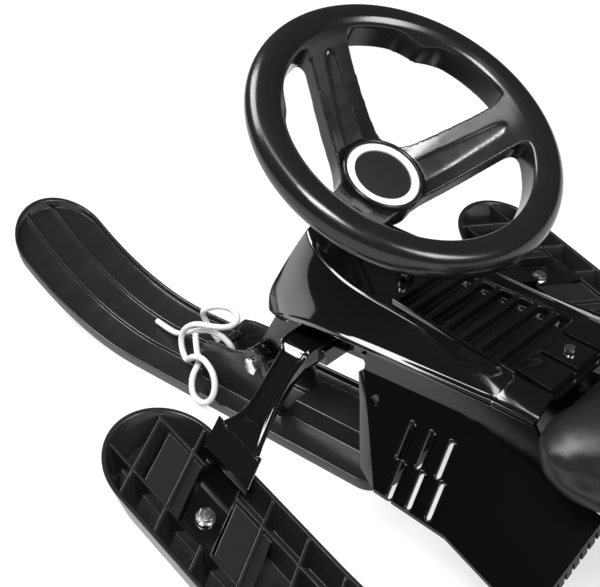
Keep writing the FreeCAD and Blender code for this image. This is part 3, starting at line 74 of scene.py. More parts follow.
def varyRoughness(tree, shader, scale, low, high):
    # soft patches of more and less shine
    where = tree.nodes.new("ShaderNodeTexCoord")
    noise = tree.nodes.new("ShaderNodeTexNoise")
    spread = tree.nodes.new("ShaderNodeMapRange")
    noise.inputs["Scale"].default_value = scale
    noise.inputs["Detail"].default_value = 4
    spread.inputs["From Min"].default_value = 0.35
    spread.inputs["From Max"].default_value = 0.65
    spread.inputs["To Min"].default_value = low
    spread.inputs["To Max"].default_value = high
    tree.links.new(where.outputs["Object"], noise.inputs["Vector"])
    tree.links.new(noise.outputs["Fac"], spread.inputs["Value"])
    tree.links.new(spread.outputs["Result"], shader.inputs["Roughness"])


def addBraid(tree, shader, scale, distortion, strength, distance):
    # the strands of a cord as a wavy bump
    braid = tree.nodes.new("ShaderNodeTexWave")
    where = tree.nodes.new("ShaderNodeTexCoord")
    bump = tree.nodes.new("ShaderNodeBump")
    braid.inputs["Scale"].default_value = scale
    braid.inputs["Distortion"].default_value = distortion
    bump.inputs["Strength"].default_value = strength
    bump.inputs["Distance"].default_value = distance
    tree.links.new(where.outputs["Object"], braid.inputs["Vector"])
    tree.links.new(braid.outputs["Fac"], bump.inputs["Height"])
    tree.links.new(bump.outputs["Normal"], shader.inputs["Normal"])


wheelSatin, tree, shader = newMaterial("wheelSatin", (0.01, 0.01, 0.0105), 0.2)
addGrain(tree, shader, 1400, 0.06, 0.0003)
varyRoughness(tree, shader, 30, 0.17, 0.23)
skiSatin, tree, shader = newMaterial("skiSatin", (0.015, 0.015, 0.0155), 0.24)
addGrain(tree, shader, 900, 0.06, 0.0003)
varyRoughness(tree, shader, 18, 0.2, 0.28)
cowlGloss, tree, shader = newMaterial("cowlGloss", (0.004, 0.004, 0.0045), 0.08)
varyRoughness(tree, shader, 9, 0.05, 0.09)
shader.inputs["IOR"].default_value = 1.75
platePaint, tree, shader = newMaterial("platePaint", (0.0014, 0.0014, 0.0016), 0.15)
addGrain(tree, shader, 160, 0.03, 0.0004)
discSatin, tree, shader = newMaterial("discSatin", (0.02, 0.02, 0.021), 0.3)
addGrain(tree, shader, 1200, 0.06, 0.0002)
ringPaint, tree, shader = newMaterial("ringPaint", (0.86, 0.86, 0.86), 0.3)
zincBright, tree, shader = newMaterial("zincBright", (0.78, 0.79, 0.8), 0.24, metallic=1.0)
varyRoughness(tree, shader, 260, 0.18, 0.32)
bushNylon, tree, shader = newMaterial("bushNylon", (0.012, 0.012, 0.012), 0.45)
seatVinyl, tree, shader = newMaterial("seatVinyl", (0.009, 0.009, 0.0094), 0.36)
addGrain(tree, shader, 520, 0.2, 0.0004, 5.0)
ropeWhite, tree, shader = newMaterial("ropeWhite", (0.88, 0.88, 0.87), 0.85)
addBraid(tree, shader, 220, 3, 0.5, 0.0006)

slotMaterial = {
    "wheel_plastic": wheelSatin,
    "ring_white": ringPaint,
    "cap_plastic": discSatin,
    "zinc_steel": zincBright,
    "black_steel": platePaint,
    "bush_plastic": bushNylon,
    "ski_plastic": skiSatin,
    "gloss_plastic": cowlGloss,
    "base_plastic": skiSatin,
    "seat_vinyl": seatVinyl,
    "white_rope": ropeWhite,
}
for node, part in frame["nodes"].items():
    part.data.materials.clear()
    part.data.materials.append(slotMaterial[slotOf[node]])
print("materials made")


# helpers for the pieces; the coarse weld joins the CAD's shortest edges, so that a wide bevel fits
fineWeld, coarseWeld = 0.002, 0.35


def linked(name, data):
    thing = bpy.data.objects.new(name, data)
    bpy.context.collection.objects.link(thing)
    return thing


def newPiece(name, mesh, node):
    piece = linked(name, mesh)
    mesh.materials.clear()
    mesh.materials.append(slotMaterial[slotOf[node]])
    mesh.shade_smooth()
    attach(piece, bodyOf[node])
    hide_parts(node)
    return piece


def meshFrom(form, name):
    mesh = bpy.data.meshes.new(name)
    bmesh.ops.recalc_face_normals(form, faces=form.faces)
    form.to_mesh(mesh)
    form.free()
    return mesh


def settled(piece):
    # the mesh with its modifiers worked in
    graph = bpy.context.evaluated_depsgraph_get()
    mesh = bpy.data.meshes.new_from_object(piece.evaluated_get(graph))
    piece.modifiers.clear()
    old = piece.data
    piece.data = mesh
    bpy.data.meshes.remove(old)
    return piece


def cutAway(piece, cuts, name, ownCrossings=False):
    # the piece less the closed forms in cuts
    cutter = linked(name, meshFrom(cuts, name))
    cut = piece.modifiers.new("openings", "BOOLEAN")
    cut.operation = "DIFFERENCE"
    cut.solver = "EXACT"
    cut.use_self = ownCrossings
    cut.object = cutter
    settled(piece)
    bpy.data.objects.remove(cutter)


def weldedForm(node, weld=fineWeld):
    form = bmesh.new()
    form.from_mesh(frame["nodes"][node].data)
    bmesh.ops.remove_doubles(form, verts=form.verts, dist=weld * mm)
    return form


def cadForm(node, weld=fineWeld):
    # the CAD mesh, welded and with its flat faces whole
    form = weldedForm(node, weld)
    bmesh.ops.dissolve_limit(form, angle_limit=math.radians(0.6), verts=form.verts, edges=form.edges)
    return form


def roundEdges(piece, width, segments=2, held=True):
    bevel = piece.modifiers.new("edges", "BEVEL")
    bevel.width = width
    bevel.segments = segments
    bevel.limit_method = "ANGLE"
    bevel.angle_limit = math.radians(30)
    bevel.use_clamp_overlap = held
    bevel.harden_normals = True
    return piece


def flattened(piece):
    # large faces keep their own normals beside the rounded edges
    even = piece.modifiers.new("even", "WEIGHTED_NORMAL")
    even.weight = 100
    even.keep_sharp = True
    return piece


def softened(node, width, segments=2, weld=fineWeld):
    piece = newPiece(node + "Soft", meshFrom(cadForm(node, weld), node + "Soft"), node)
    return roundEdges(piece, width, segments, held=weld == fineWeld)


def addRing(form, points):
    return [form.verts.new(point) for point in points]


def skinRings(form, rings, closed=True, capEnds=True):
    for a, b in zip(rings, rings[1:]):
        count = len(a)
        for i in range(count if closed else count - 1):
            j = (i + 1) % count
            form.faces.new((a[i], a[j], b[j], b[i]))
    if capEnds:
        form.faces.new(rings[0][::-1])
        form.faces.new(rings[-1])


def between(table, at):
    # a value read from rows of (place, values), straight between rows
    for a, b in zip(table, table[1:]):
        low, high = min(a[0], b[0]), max(a[0], b[0])
        if low <= at <= high:
            share = (at - a[0]) / (b[0] - a[0])
            return [p + (q - p) * share for p, q in zip(a[1:], b[1:])]
    return list(table[-1][1:])


# steering wheel: a turned dish with three openings cut through it
wheel = {
    "pivot": Vector((116, 0, 60)) * mm,
    "tilt": 36,
    "rim": 125,
    "tube": 14,
    "level": 368,
    "spokes": (0, 110, 250),
    "innerWall": 110.5,
    "hubEdge": 41,
    # reach from the axis, level of the dish there
    "dish": (
        (34, 308), (38, 311), (46, 317.5), (60, 329), (78, 345), (92, 358), (102, 367.5), (108, 373.5),
        (113, 378.2), (118, 381.2), (125, 382),
    ),
    "hubFloor": (0.01, 306),
    # the underside follows the first rows of the dish, drawn in a little
    "underRows": 7,
    "underStep": 0.5,
    "depth": 19,
    "rimUnder": ((117, 353), (112, 351.5), (106, 350)),
    "boss": ((28, 285), (18, 280), (16, 274), (16, 218.6), (0.01, 218.6)),
    "collar": (
        (36.6, 288), (37, 291), (37, 314.4), (36.5, 315.6), (35.3, 316), (34.2, 315.6), (33.5, 314.6),
        (33.5, 302),
    ),
    # half width at the hub, what the spoke loses, where that starts and over what reach
    "spokeHalf": (25.5, 3, 44, 46),
    "flankReach": 110,
    # reach and half width of the raised panel, then its rise, depth and corner
    "panel": ((38, 12.5), (52, 11), (66, 9.2), (80, 7.4), (91, 6.2), (96, 5.2), (98.5, 3.6), (99.6, 1.2)),
    "panelRise": 1.7,
    "panelDepth": 9,
    "panelCorner": 2.4,
    "lobes": (52, 308),
    "lobeRise": 6,
    "lobeSpread": 6.5,
    "openingSpan": (270, 400),
    # steps along a spoke's side, along the rim and round the tube
    "sideSteps": 29,
    "rimSteps": 160,
    "tubeSteps": 16,
    "openingPoints": 260,
    "openingRounds": 34,
    "voxel": 1.0,
    "smoothing": 8,
}
onColumn = Matrix.Translation(wheel["pivot"]) @ Matrix.Rotation(math.radians(-wheel["tilt"]), 4, "Y")


def lathe(form, profile, segments=128):
    rings = []
    for radius, height in profile:
        ring = []
        for i in range(segments):
            turn = 2 * math.pi * i / segments
            spot = Vector((radius * math.cos(turn), radius * math.sin(turn), height)) * mm
            ring.append(form.verts.new(spot))
        rings.append(ring)
    skinRings(form, rings, capEnds=False)
    return rings


def spokeHalf(reach):
    root, loss, start, over = wheel["spokeHalf"]
    return root - loss * min(1, max(0, (reach - start) / over))


def innerWall(angle):
    reach = wheel["innerWall"]
    for lobe in wheel["lobes"]:
        away = (angle - lobe + 180) % 360 - 180
        reach -= wheel["lobeRise"] * math.exp(-((away / wheel["lobeSpread"]) ** 2))
    return reach


def openingOutline(start, end):
    # spoke side, rim's inner wall, other spoke side and hub, then rounded off
    points = []
    sideSteps, rimSteps = wheel["sideSteps"], wheel["rimSteps"]
    for i in range(sideSteps + 1):
        reach = wheel["hubEdge"] + (wheel["innerWall"] - wheel["hubEdge"]) * i / sideSteps
        points.append((reach, start + math.degrees(math.asin(spokeHalf(reach) / reach))))
    flank = math.degrees(math.asin(spokeHalf(wheel["flankReach"]) / wheel["innerWall"]))
    for i in range(1, rimSteps):
        angle = start + flank + (end - start - 2 * flank) * i / rimSteps
        points.append((innerWall(angle), angle))
    for i in range(sideSteps + 1):
        reach = wheel["innerWall"] + (wheel["hubEdge"] - wheel["innerWall"]) * i / sideSteps
        points.append((reach, end - math.degrees(math.asin(spokeHalf(reach) / reach))))
    line = [Vector((r * math.cos(math.radians(a)), r * math.sin(math.radians(a)))) for r, a in points]
    even = []
    count = wheel["openingPoints"]
    lengths = [(line[(i + 1) % len(line)] - line[i]).length for i in range(len(line))]
    total = sum(lengths)
    spot, walked = 0, 0.0
    for i in range(count):
        target = total * i / count
        while walked + lengths[spot] < target:
            walked += lengths[spot]
            spot += 1
        share = (target - walked) / max(lengths[spot], 1e-9)
        even.append(line[spot].lerp(line[(spot + 1) % len(line)], share))
    for _ in range(wheel["openingRounds"]):
        even = [(even[i - 1] + even[i] * 2 + even[(i + 1) % count]) / 4 for i in range(count)]
    return even


def dishLevel(reach):
    return between(wheel["dish"], reach)[0]


def roundedBox(halfWidth, low, high, corner, steps=4):
    points = []
    corner = min(corner, (high - low) / 2 - 0.2, halfWidth - 0.1)
    spots = ((1, high - corner, 0), (-1, high - corner, 90), (-1, low + corner, 180), (1, low + corner, 270))
    for side, up, start in spots:
        for i in range(steps + 1):
            turn = math.radians(start + 90 * i / steps)
            across = side * (halfWidth - corner) + corner * math.cos(turn)
            points.append((across, up + corner * math.sin(turn)))
    return points


def makeWheel():
    form = bmesh.new()
    profile = [wheel["hubFloor"]] + list(wheel["dish"][:-1])
    for i in range(wheel["tubeSteps"] + 1):
        turn = math.radians(90 - 180 * i / wheel["tubeSteps"])
        out, up = wheel["tube"] * math.cos(turn), wheel["tube"] * math.sin(turn)
        profile.append((wheel["rim"] + out, wheel["level"] + up))
    profile += wheel["rimUnder"]
    for reach, level in reversed(wheel["dish"][:wheel["underRows"]]):
        profile.append((reach - wheel["underStep"], level - wheel["depth"]))
    profile += wheel["boss"]
    rings = lathe(form, profile)
    form.faces.new(rings[0][::-1])
    form.faces.new(rings[-1])
    rough = linked("wheelRough", meshFrom(form, "wheelRough"))
    cuts = bmesh.new()
    for start, end in zip(wheel["spokes"], wheel["spokes"][1:] + (360,)):
        outline = openingOutline(start, end)
        rings = []
        for level in wheel["openingSpan"]:
            rings.append(addRing(cuts, [Vector((p.x, p.y, level)) * mm for p in outline]))
        skinRings(cuts, rings)
    cutAway(rough, cuts, "wheelCutter")
    form = bmesh.new()
    form.from_mesh(rough.data)
    for angle in wheel["spokes"]:
        # raised panel along the spoke with a round end
        spin = Matrix.Rotation(math.radians(angle), 3, "Z")
        rings = []
        for reach, half in wheel["panel"]:
            top = dishLevel(reach) + wheel["panelRise"]
            outline = roundedBox(half, top - wheel["panelDepth"], top, wheel["panelCorner"])
            rings.append(addRing(form, [spin @ (Vector((reach, a, u)) * mm) for a, u in outline]))
        skinRings(form, rings)
    bmesh.ops.recalc_face_normals(form, faces=form.faces)
    form.to_mesh(rough.data)
    form.free()
    remesh = rough.modifiers.new("voxels", "REMESH")
    remesh.mode = "VOXEL"
    remesh.voxel_size = wheel["voxel"] * mm
    smooth = rough.modifiers.new("smooth", "SMOOTH")
    smooth.factor = 0.5
    smooth.iterations = wheel["smoothing"]
    settled(rough)
    form = bmesh.new()
    form.from_mesh(rough.data)
    bpy.data.objects.remove(rough)
    # the collar round the hub's disc, kept crisp
    lathe(form, wheel["collar"])
    mesh = meshFrom(form, "wheelForm")
    mesh.transform(onColumn)
    return newPiece("wheelForm", mesh, "steering_wheel")


makeWheel()
softened("hub_cap", 0.8 * mm, 3)
softened("hub_ring", 0.6 * mm, 3)
print("steering wheel made")

# front ski, frame and small pieces keep their solids, with their edges rounded
softened("front_ski", 1.2 * mm, 3, coarseWeld)
for node, width, segments in (
    ("main_frame", 0.8, 2), ("vent_grille", 1.3, 2), ("cowl_pads", 1.6, 3),
    ("steering_fork", 1.5, 3), ("ski_pivot_bolt", 0.7, 2), ("ski_pivot_nut", 0.7, 2), ("board_bolts", 0.8, 3),
    ("arm_cross_bolts", 0.6, 2), ("arm_cross_nuts", 0.6, 2), ("seat_base", 1.5, 2),
):
    softened(node, width * mm, segments)
print("solid pieces rounded")

# side skis: the walls draw in towards the running face
board = {
    "middle": 240,
    "rim": 30,
    "bend": -220,
    "radius": 400,
    "rise": 25.8,
    "draft": 0.15,
    "noseDraft": 8,
    "noseLength": 52,
    "tip": 35,
    "base": 4,
    "edge": 1.0,
    # pitch, first rib, skew, way out from the middle, mark radius
    "marks": (40, 7, 0.46, 32, 5.5),
    "markRows": 15,
    "markTube": 0.9,
    "markSpan": (-545, 17),
}


def boardFloor(x):
    rise = math.radians(board["rise"])
    tangent = board["radius"] * math.tan(rise / 2)
    start = board["bend"] - tangent
    if x < start:
        return 0.0
    if x < board["bend"] + tangent * math.cos(rise):
        return board["radius"] - math.sqrt(board["radius"] ** 2 - (x - start) ** 2)
    return (x - board["bend"]) * math.tan(rise)


def addTube(form, path, radius, steps=8):
    # a closed tube; across is worked out from a way that no path here runs along
    count = len(path)
    rings = []
    for i, spot in enumerate(path):
        ahead = (path[(i + 1) % count] - path[i - 1]).normalized()
        across = ahead.cross(Vector((0.1, 0.5, 0.85))).normalized()
        up = across.cross(ahead)
        ring = []
        for k in range(steps):
            turn = 2 * math.pi * k / steps
            ring.append(form.verts.new(spot + (across * math.cos(turn) + up * math.sin(turn)) * radius))
        rings.append(ring)
    skinRings(form, rings + rings[:1], capEnds=False)


def addMouldMarks(form, side):
    # a faint round mark on the floor of each outer cell
    pitch, first, skew, reach, ring = board["marks"]
    for lane in (-1, 1):
        for index in range(board["markRows"]):
            x = first - pitch * (index + 0.5) - lane * reach * skew
            if not board["markSpan"][0] <= x <= board["markSpan"][1]:
                continue
            rise = math.atan((boardFloor(x + 1) - boardFloor(x - 1)) / 2)
            path = []
            for k in range(24):
                turn = 2 * math.pi * k / 24
                along, out = ring * math.cos(turn), ring * math.sin(turn)
                spot = Vector((x + along * math.cos(rise), side * (board["middle"] + lane * reach + out), 0))
                path.append(spot * mm)
                path[-1].z = (boardFloor(spot.x) + board["base"] / math.cos(rise)) * mm
            addTube(form, path, board["markTube"] * mm)


def makeBoard(node, side):
    form = cadForm(node, coarseWeld)
    noseStart = board["tip"] - board["noseLength"]
    slope = math.cos(math.radians(board["rise"]))
    for vert in form.verts:
        x, y, z = vert.co / mm
        up = (z - boardFloor(x)) * (slope if x > board["bend"] else 1)
        under = 1 - min(1, max(0, up / board["rim"]))
        out = (side * y - board["middle"]) * (1 - board["draft"] * under)
        vert.co.y = side * (board["middle"] + out) * mm
        if x > noseStart:
            vert.co.x -= board["noseDraft"] * under * (x - noseStart) / board["noseLength"] * mm
    piece = newPiece(node + "Soft", meshFrom(form, node + "Soft"), node)
    roundEdges(piece, board["edge"] * mm, 3, held=False)
    settled(piece)
    form = bmesh.new()
    addMouldMarks(form, side)
    marks = meshFrom(form, node + "Marks")
    form = bmesh.new()
    form.from_mesh(piece.data)
    form.from_mesh(marks)
    form.to_mesh(piece.data)
    form.free()
    return flattened(piece)


makeBoard("side_ski_left", 1)
makeBoard("side_ski_right", -1)
print("side skis made")

# arms: a ridged neck from the beam to a saddle plate and a tongue in the board
arm = {
    # out from the middle, along, up, width, depth, ridge height, twist
    "front": (
        (30.6, -6, 143.4, 46, 17.5, 2.2, 0), (36, -6, 143.6, 46, 17.5, 2.8, 0),
        (71, -4, 143.6, 43, 17.5, 2.8, 0), (73.5, -4, 141.6, 40, 16, 1.6, 0),
        (77, -7, 139.6, 31, 14, 1.0, 0), (99, -13.5, 136.8, 29, 14, 1.3, 4),
        (120, -22, 133.3, 27.5, 14, 1.7, 9), (135, -28, 130.8, 28, 14, 1.7, 13),
        (150, -34, 128.6, 30.5, 13, 1.5, 18), (164, -39, 127.2, 36, 12, 1.0, 22),
        (173, -41, 126.9, 43, 10.5, 0.6, 25.8), (181, -43, 126.6, 49, 9, 0.3, 25.8),
    ),
    # width of the ridge along each edge, and its most as a share of the half width
    "lip": 4.2,
    "lipShare": 0.26,
    # points round the section whose edges stay tight, and how tight
    "creased": (0, 2, 5, 6, 9, 11),
    "crease": 0.6,
    "skew": 0.46,
    "bolts": {"front": -53, "rear": -453},
    "rearRoot": -471,
    "rearBend": 72,
    "rearLevel": 142.5,
    # way out and up on the board where the rear neck ends, and its lift there
    "rearEnd": (180, 35, 1),
    "frontRoot": -9,
    "beam": 30.5,
    "dip": 1.1,
    "borders": {"saddle": 1.8, "web": 0.0, "tongue": 2.2},
    "edge": 1.1,
    "root": (60, 23, 134.2, 149.6),
    "saddle": (178, 208, 25, 30.3, 40.5),
    "web": (186, 196.8, 16.8, 4.5, 36),
    "tongue": (191.6, 262.8, 16.8, 4.4, 12.1),
}


def boardPoint(bolt, x, y, up):
    # a point on the board's slope, x measured along it from the bolt
    rise = math.radians(board["rise"]) if bolt > board["bend"] else 0.0
    foot = (bolt - board["bend"]) * math.tan(rise)
    return Vector((
        bolt + x * math.cos(rise) - up * math.sin(rise), y, foot + x * math.sin(rise) + up * math.cos(rise)
    )) * mm


def addSkewPlate(form, bolt, plate, border=0.0):
    yLow, yHigh, half, low, high = plate
    stretch = 1 / math.cos(math.radians(board["rise"])) if bolt > board["bend"] else 1
    corners = []
    for side, y in ((-1, yLow), (1, yLow), (1, yHigh), (-1, yHigh)):
        corners.append(((side * half - arm["skew"] * (y - board["middle"])) * stretch, y))
    rings = [addRing(form, [boardPoint(bolt, x, y, up) for x, y in corners]) for up in (low, high)]
    skinRings(form, rings, capEnds=False)
    form.faces.new(rings[0][::-1])
    top = form.faces.new(rings[1])
    if border:
        bmesh.ops.inset_region(form, faces=[top], thickness=border * mm, depth=0)
        bmesh.ops.translate(form, verts=top.verts, vec=top.normal * (-arm["dip"] * mm))


def armSections(kind):
    rows = arm["front"]
    if kind == "front":
        return rows
    last = rows[-1]
    far, height, lift = arm["rearEnd"]
    end = boardPoint(arm["bolts"]["rear"], -arm["skew"] * (far - board["middle"]), far, height) / mm
    level = arm["rearLevel"]
    moved = []
    for out, _, _, width, depth, ridge, _ in rows:
        share = max(0, (out - arm["rearBend"]) / (last[0] - arm["rearBend"]))
        along = arm["rearRoot"] + (end.x - arm["rearRoot"]) * share
        moved.append((out, along, level + (end.z + lift - level) * share, width, depth, ridge, 0))
    return moved


def makeArm(node, kind, side):
    form = bmesh.new()
    crease = form.edges.layers.float.new("crease_edge")
    rings = []
    for out, along, up, width, depth, ridge, twist in armSections(kind):
        half, low, high = width / 2, -depth / 2, depth / 2
        lean = Matrix.Rotation(math.radians(-twist), 3, "Y")
        lip = min(arm["lip"], half * arm["lipShare"])
        edge = half * 0.97
        flank = (
            (half * 0.86, low), (half, low + depth * 0.35), (edge, high), (edge - lip * 0.5, high + ridge),
            (edge - lip, high + ridge * 0.7), (edge - lip * 1.5, high - 0.4),
        )
        outline = [(-a, u) for a, u in flank] + list(reversed(flank))
        place = Vector((along, out, up))
        rings.append(addRing(form, [(place + lean @ Vector((a, 0, u))) * mm for a, u in outline]))
    skinRings(form, rings)
    for ring, after in zip(rings, rings[1:]):
        for index in arm["creased"]:
            form.edges.get((ring[index], after[index]))[crease] = arm["crease"]
    for ring in (rings[0], rings[-1]):
        for i in range(len(ring)):
            form.edges.get((ring[i], ring[(i + 1) % len(ring)]))[crease] = 1.0
    neck = linked("armNeck", meshFrom(form, "armNeck"))
    levels = neck.modifiers.new("levels", "SUBSURF")
    levels.levels = 2
    settled(neck)
    plates = bmesh.new()
    bolt = arm["bolts"][kind]
    along = arm["rearRoot"] if kind == "rear" else arm["frontRoot"]
    out, half, low, high = arm["root"]
    beam = arm["beam"]
    corners = ((along - half, beam), (along + half, beam), (along + half, out), (along - half, out))
    skinRings(plates, [addRing(plates, [Vector((x, y, z)) * mm for x, y in corners]) for z in (low, high)])
    for plate, border in arm["borders"].items():
        addSkewPlate(plates, bolt, arm[plate], border)
    flat = linked("armPlates", meshFrom(plates, "armPlates"))
    roundEdges(flat, arm["edge"] * mm)
    settled(flat)
    form = bmesh.new()
    form.from_mesh(neck.data)
    form.from_mesh(flat.data)
    if side < 0:
        for vert in form.verts:
            vert.co.y = -vert.co.y
    bpy.data.objects.remove(neck)
    bpy.data.objects.remove(flat)
    piece = newPiece(node + "Form", meshFrom(form, node + "Form"), node)
    return flattened(piece)


for kind in ("front", "rear"):
    makeArm(kind + "_arm_left", kind, 1)
    makeArm(kind + "_arm_right", kind, -1)
print("arms made")

# brake plate: the CAD sheet with drawn rims round its slots and a bent front edge
brake = {
    "inner": 65.5,
    "top": 156,
    "slope": 1.155,
    "slotFirst": -155,
    "slotPitch": 21,
    "slotRow": (92, 114),
    "slotShift": 6,
    "slotCount": 3,
    "slotHalf": (3, 8.84),
    "slotEnd": 0.7,
    "front": (-86, 65.5),
    "corner": (-143, 124),
    "normal": (0.756, 0.654),
    "lift": 0.3,
    "slotRim": (0.7, 1.1),
    # share of the front edge, and where the strip's outer line lies there
    "strip": (
        (0.0, (-80, 66, 151)), (0.25, (-92, 80, 130)), (0.5, (-103, 95, 110)), (0.8, (-118, 113, 93)),
        (1.0, (-140, 123.4, 88)),
    ),
    "stripInset": 0.6,
    "stripGauge": 1.6,
    "stripInward": (-0.55, -0.3, -0.6),
    "edge": 0.6,
}


def onWing(x, y, side):
    # a point just over the wing's sloping face
    out, up = (brake["lift"] * part for part in brake["normal"])
    return Vector((x, side * (y + out), brake["top"] - brake["slope"] * (y - brake["inner"]) + up)) * mm


def makeBrake():
    flat = linked("brakeSheet", meshFrom(cadForm("brake_plate"), "brakeSheet"))
    roundEdges(flat, brake["edge"] * mm)
    settled(flat)
    form = bmesh.new()
    form.from_mesh(flat.data)
    bpy.data.objects.remove(flat)
    wide, long = brake["slotHalf"]
    wide += brake["slotRim"][0]
    for side in (1, -1):
        for row, middle in enumerate(brake["slotRow"]):
            for index in range(brake["slotCount"]):
                x = brake["slotFirst"] - brake["slotPitch"] * index - brake["slotShift"] * row
                path = []
                for end, start in ((1, 0), (-1, 180)):
                    for k in range(9):
                        turn = math.radians(start + 180 * k / 8)
                        y = middle + end * long + wide * brake["slotEnd"] * math.sin(turn)
                        path.append(onWing(x + wide * math.cos(turn), y, side))
                addTube(form, path, brake["slotRim"][1] * mm)
        # the strip bent down along the front edge
        strip = []
        back, inward, down = brake["stripInward"]
        thick = Vector((back, side * inward, down)) * (brake["stripGauge"] * mm)
        for share, outer in brake["strip"]:
            x, y = [a + (b - a) * share for a, b in zip(brake["front"], brake["corner"])]
            root = onWing(x - brake["stripInset"], y, side)
            far = Vector((outer[0], side * outer[1], outer[2])) * mm
            strip.append(addRing(form, [root, far, far + thick, root + thick]))
        skinRings(form, strip)
    piece = newPiece("brakeForm", meshFrom(form, "brakeForm"), "brake_plate")
    return flattened(piece)


makeBrake()
print("brake made")

# cowl: a leaning front face, one large panel down each side and a hollow top between two ridges
cowl = {
    # lip place, ridge place, share of the nose's forward bulge, drop of the top inside the ridge
    "stations": (
        ((53, 40, 147), (6.5, 28, 252.5), 1.0, 0.5), ((40, 47.5, 152), (0, 33, 250), 0.75, 2),
        ((22, 56, 162), (-9, 38.3, 246), 0.5, 4.5), ((0, 63, 172.5), (-20, 41.5, 240.5), 0.28, 7),
        ((-28, 70.5, 182.5), (-38, 45.7, 233.6), 0.1, 8.5), ((-60, 76, 188), (-64, 51.3, 227.6), 0, 9),
        ((-110, 77.5, 188), (-110, 52, 221), 0, 8.5), ((-166, 78, 187), (-166, 52.5, 213.8), 0, 8),
        ((-232.8, 78, 186.5), (-232.8, 53, 204.9), 0, 7),
        ((-234.5, 77.3, 186.5), (-234.5, 52.4, 204.1), 0, 7),
        ((-236.2, 78, 186.5), (-236.2, 53, 204.5), 0, 7), ((-274, 78, 185), (-274, 53.5, 199.6), 0, 6),
    ),
    # share of the way up, forward bulge
    "nose": ((0, 0), (0.05, 13), (0.12, 20), (0.2, 22), (0.4, 17), (0.6, 12), (0.8, 6.5), (1, 0)),
    "shares": (0.24, 0.42, 0.62, 0.84),
    # the lip's band and ledge, then the ridge's narrow face: out, up
    "band": ((0, 0), (0.5, 0.6), (0.5, 4.6), (-1.2, 6.0)),
    "edge": ((1.1, -1.2), (-1.0, 0.05)),
    # steps in from the ridge, and the share of the drop at each
    "inside": ((2.6, 0.08), (4.6, 0.6), (8.2, 1)),
    "bow": 10,
    "crown": 7,
    "wall": 2.6,
    # point round the section, weight of its crease
    "creases": ((0, 1.0), (2, 0.7), (3, 0.7), (8, 0.75), (9, 0.75), (12, 0.5)),
    "noseCrease": 0.3,
    "rimCrease": 0.8,
    "columnHole": 18.6,
    "columnSpan": (140, 290),
    "insertPlan": ((-100.6, 38.4), (-270.4, 49.4), (-270.4, -49.4), (-100.6, -38.4)),
    "insertSpan": (187.2, 280),
    "sharp": 42,
}


def makeCowl():
    form = bmesh.new()
    crease = form.edges.layers.float.new("crease_edge")
    rings = []
    for number, (lip, ridge, bulge, drop) in enumerate(cowl["stations"]):
        half = [Vector(lip) + Vector((0, out, up)) for out, up in cowl["band"]]
        for share in cowl["shares"]:
            spot = Vector(lip).lerp(Vector(ridge), share)
            spot.y += cowl["bow"] * share * (1 - share)
            half.append(spot)
        half += [Vector(ridge) + Vector((0, out, up)) for out, up in cowl["edge"]]
        for spot in half:
            share = min(1, max(0, (spot.z - lip[2]) / (ridge[2] - lip[2])))
            spot.x += bulge * between(cowl["nose"], share)[0]
        for inside, sink in cowl["inside"]:
            half.append(Vector((ridge[0], ridge[1] - inside, ridge[2] - drop * sink)))
        half.append(Vector((ridge[0], 0, ridge[2] - drop)))
        if number == 0:
            for spot in half[-4:]:
                spot.x += cowl["crown"] * (1 - (spot.y / ridge[1]) ** 2)
        whole = half + [Vector((p.x, -p.y, p.z)) for p in reversed(half[:-1])]
        rings.append(addRing(form, [p * mm for p in whole]))
    skinRings(form, rings, closed=False, capEnds=False)
    first, count = rings[0], len(rings[0])
    side = count // 2 - len(cowl["inside"])
    across = [1 - inside / cowl["stations"][0][1][1] for inside, sink in cowl["inside"]]
    rows = []
    for index in range(side - 1):
        edge = first[index].co
        row = [first[index]]
        for f in across + [0] + [-f for f in reversed(across)]:
            row.append(form.verts.new((edge.x + cowl["crown"] * mm * (1 - f * f), edge.y * f, edge.z)))
        rows.append(row + [first[count - 1 - index]])
    rows.append(first[side - 1:count - side + 1])
    for low, high in zip(rows, rows[1:]):
        for i in range(len(low) - 1):
            form.faces.new((low[i], low[i + 1], high[i + 1], high[i]))
    for ring, after in zip(rings, rings[1:]):
        for index, weight in cowl["creases"]:
            for spot in (index, count - 1 - index):
                form.edges.get((ring[spot], after[spot]))[crease] = weight
    tight = cowl["noseCrease"]
    for line, weight in ((rings[-1], 1), (rows[0], 1), (first[:side], tight), (first[count - side:], tight)):
        for a, b in zip(line, line[1:]):
            form.edges.get((a, b))[crease] = weight
    piece = newPiece("cowlForm", meshFrom(form, "cowlForm"), "cowl")
    wall = piece.modifiers.new("wall", "SOLIDIFY")
    wall.thickness = cowl["wall"] * mm
    wall.offset = -1
    wall.use_even_offset = True
    wall.edge_crease_rim = cowl["rimCrease"]
    levels = piece.modifiers.new("levels", "SUBSURF")
    levels.levels = 3
    levels.render_levels = 3
    settled(piece)
    cuts = bmesh.new()
    hole = cowl["columnHole"]
    turns = [2 * math.pi * i / 64 for i in range(64)]
    rings = []
    for level in cowl["columnSpan"]:
        ring = [Vector((hole * math.cos(turn), hole * math.sin(turn), level)) * mm for turn in turns]
        rings.append(addRing(cuts, [onColumn @ spot for spot in ring]))
    skinRings(cuts, rings)
    rings = []
    for level in cowl["insertSpan"]:
        rings.append(addRing(cuts, [Vector((x, y, level)) * mm for x, y in cowl["insertPlan"]]))
    skinRings(cuts, rings)
    cutAway(piece, cuts, "cowlCutter", ownCrossings=True)
    mesh = piece.data
    mesh.materials.clear()
    mesh.materials.append(cowlGloss)
    mesh.shade_smooth()
    mesh.set_sharp_from_angle(angle=math.radians(cowl["sharp"]))
    return piece


makeCowl()
print("cowl made")

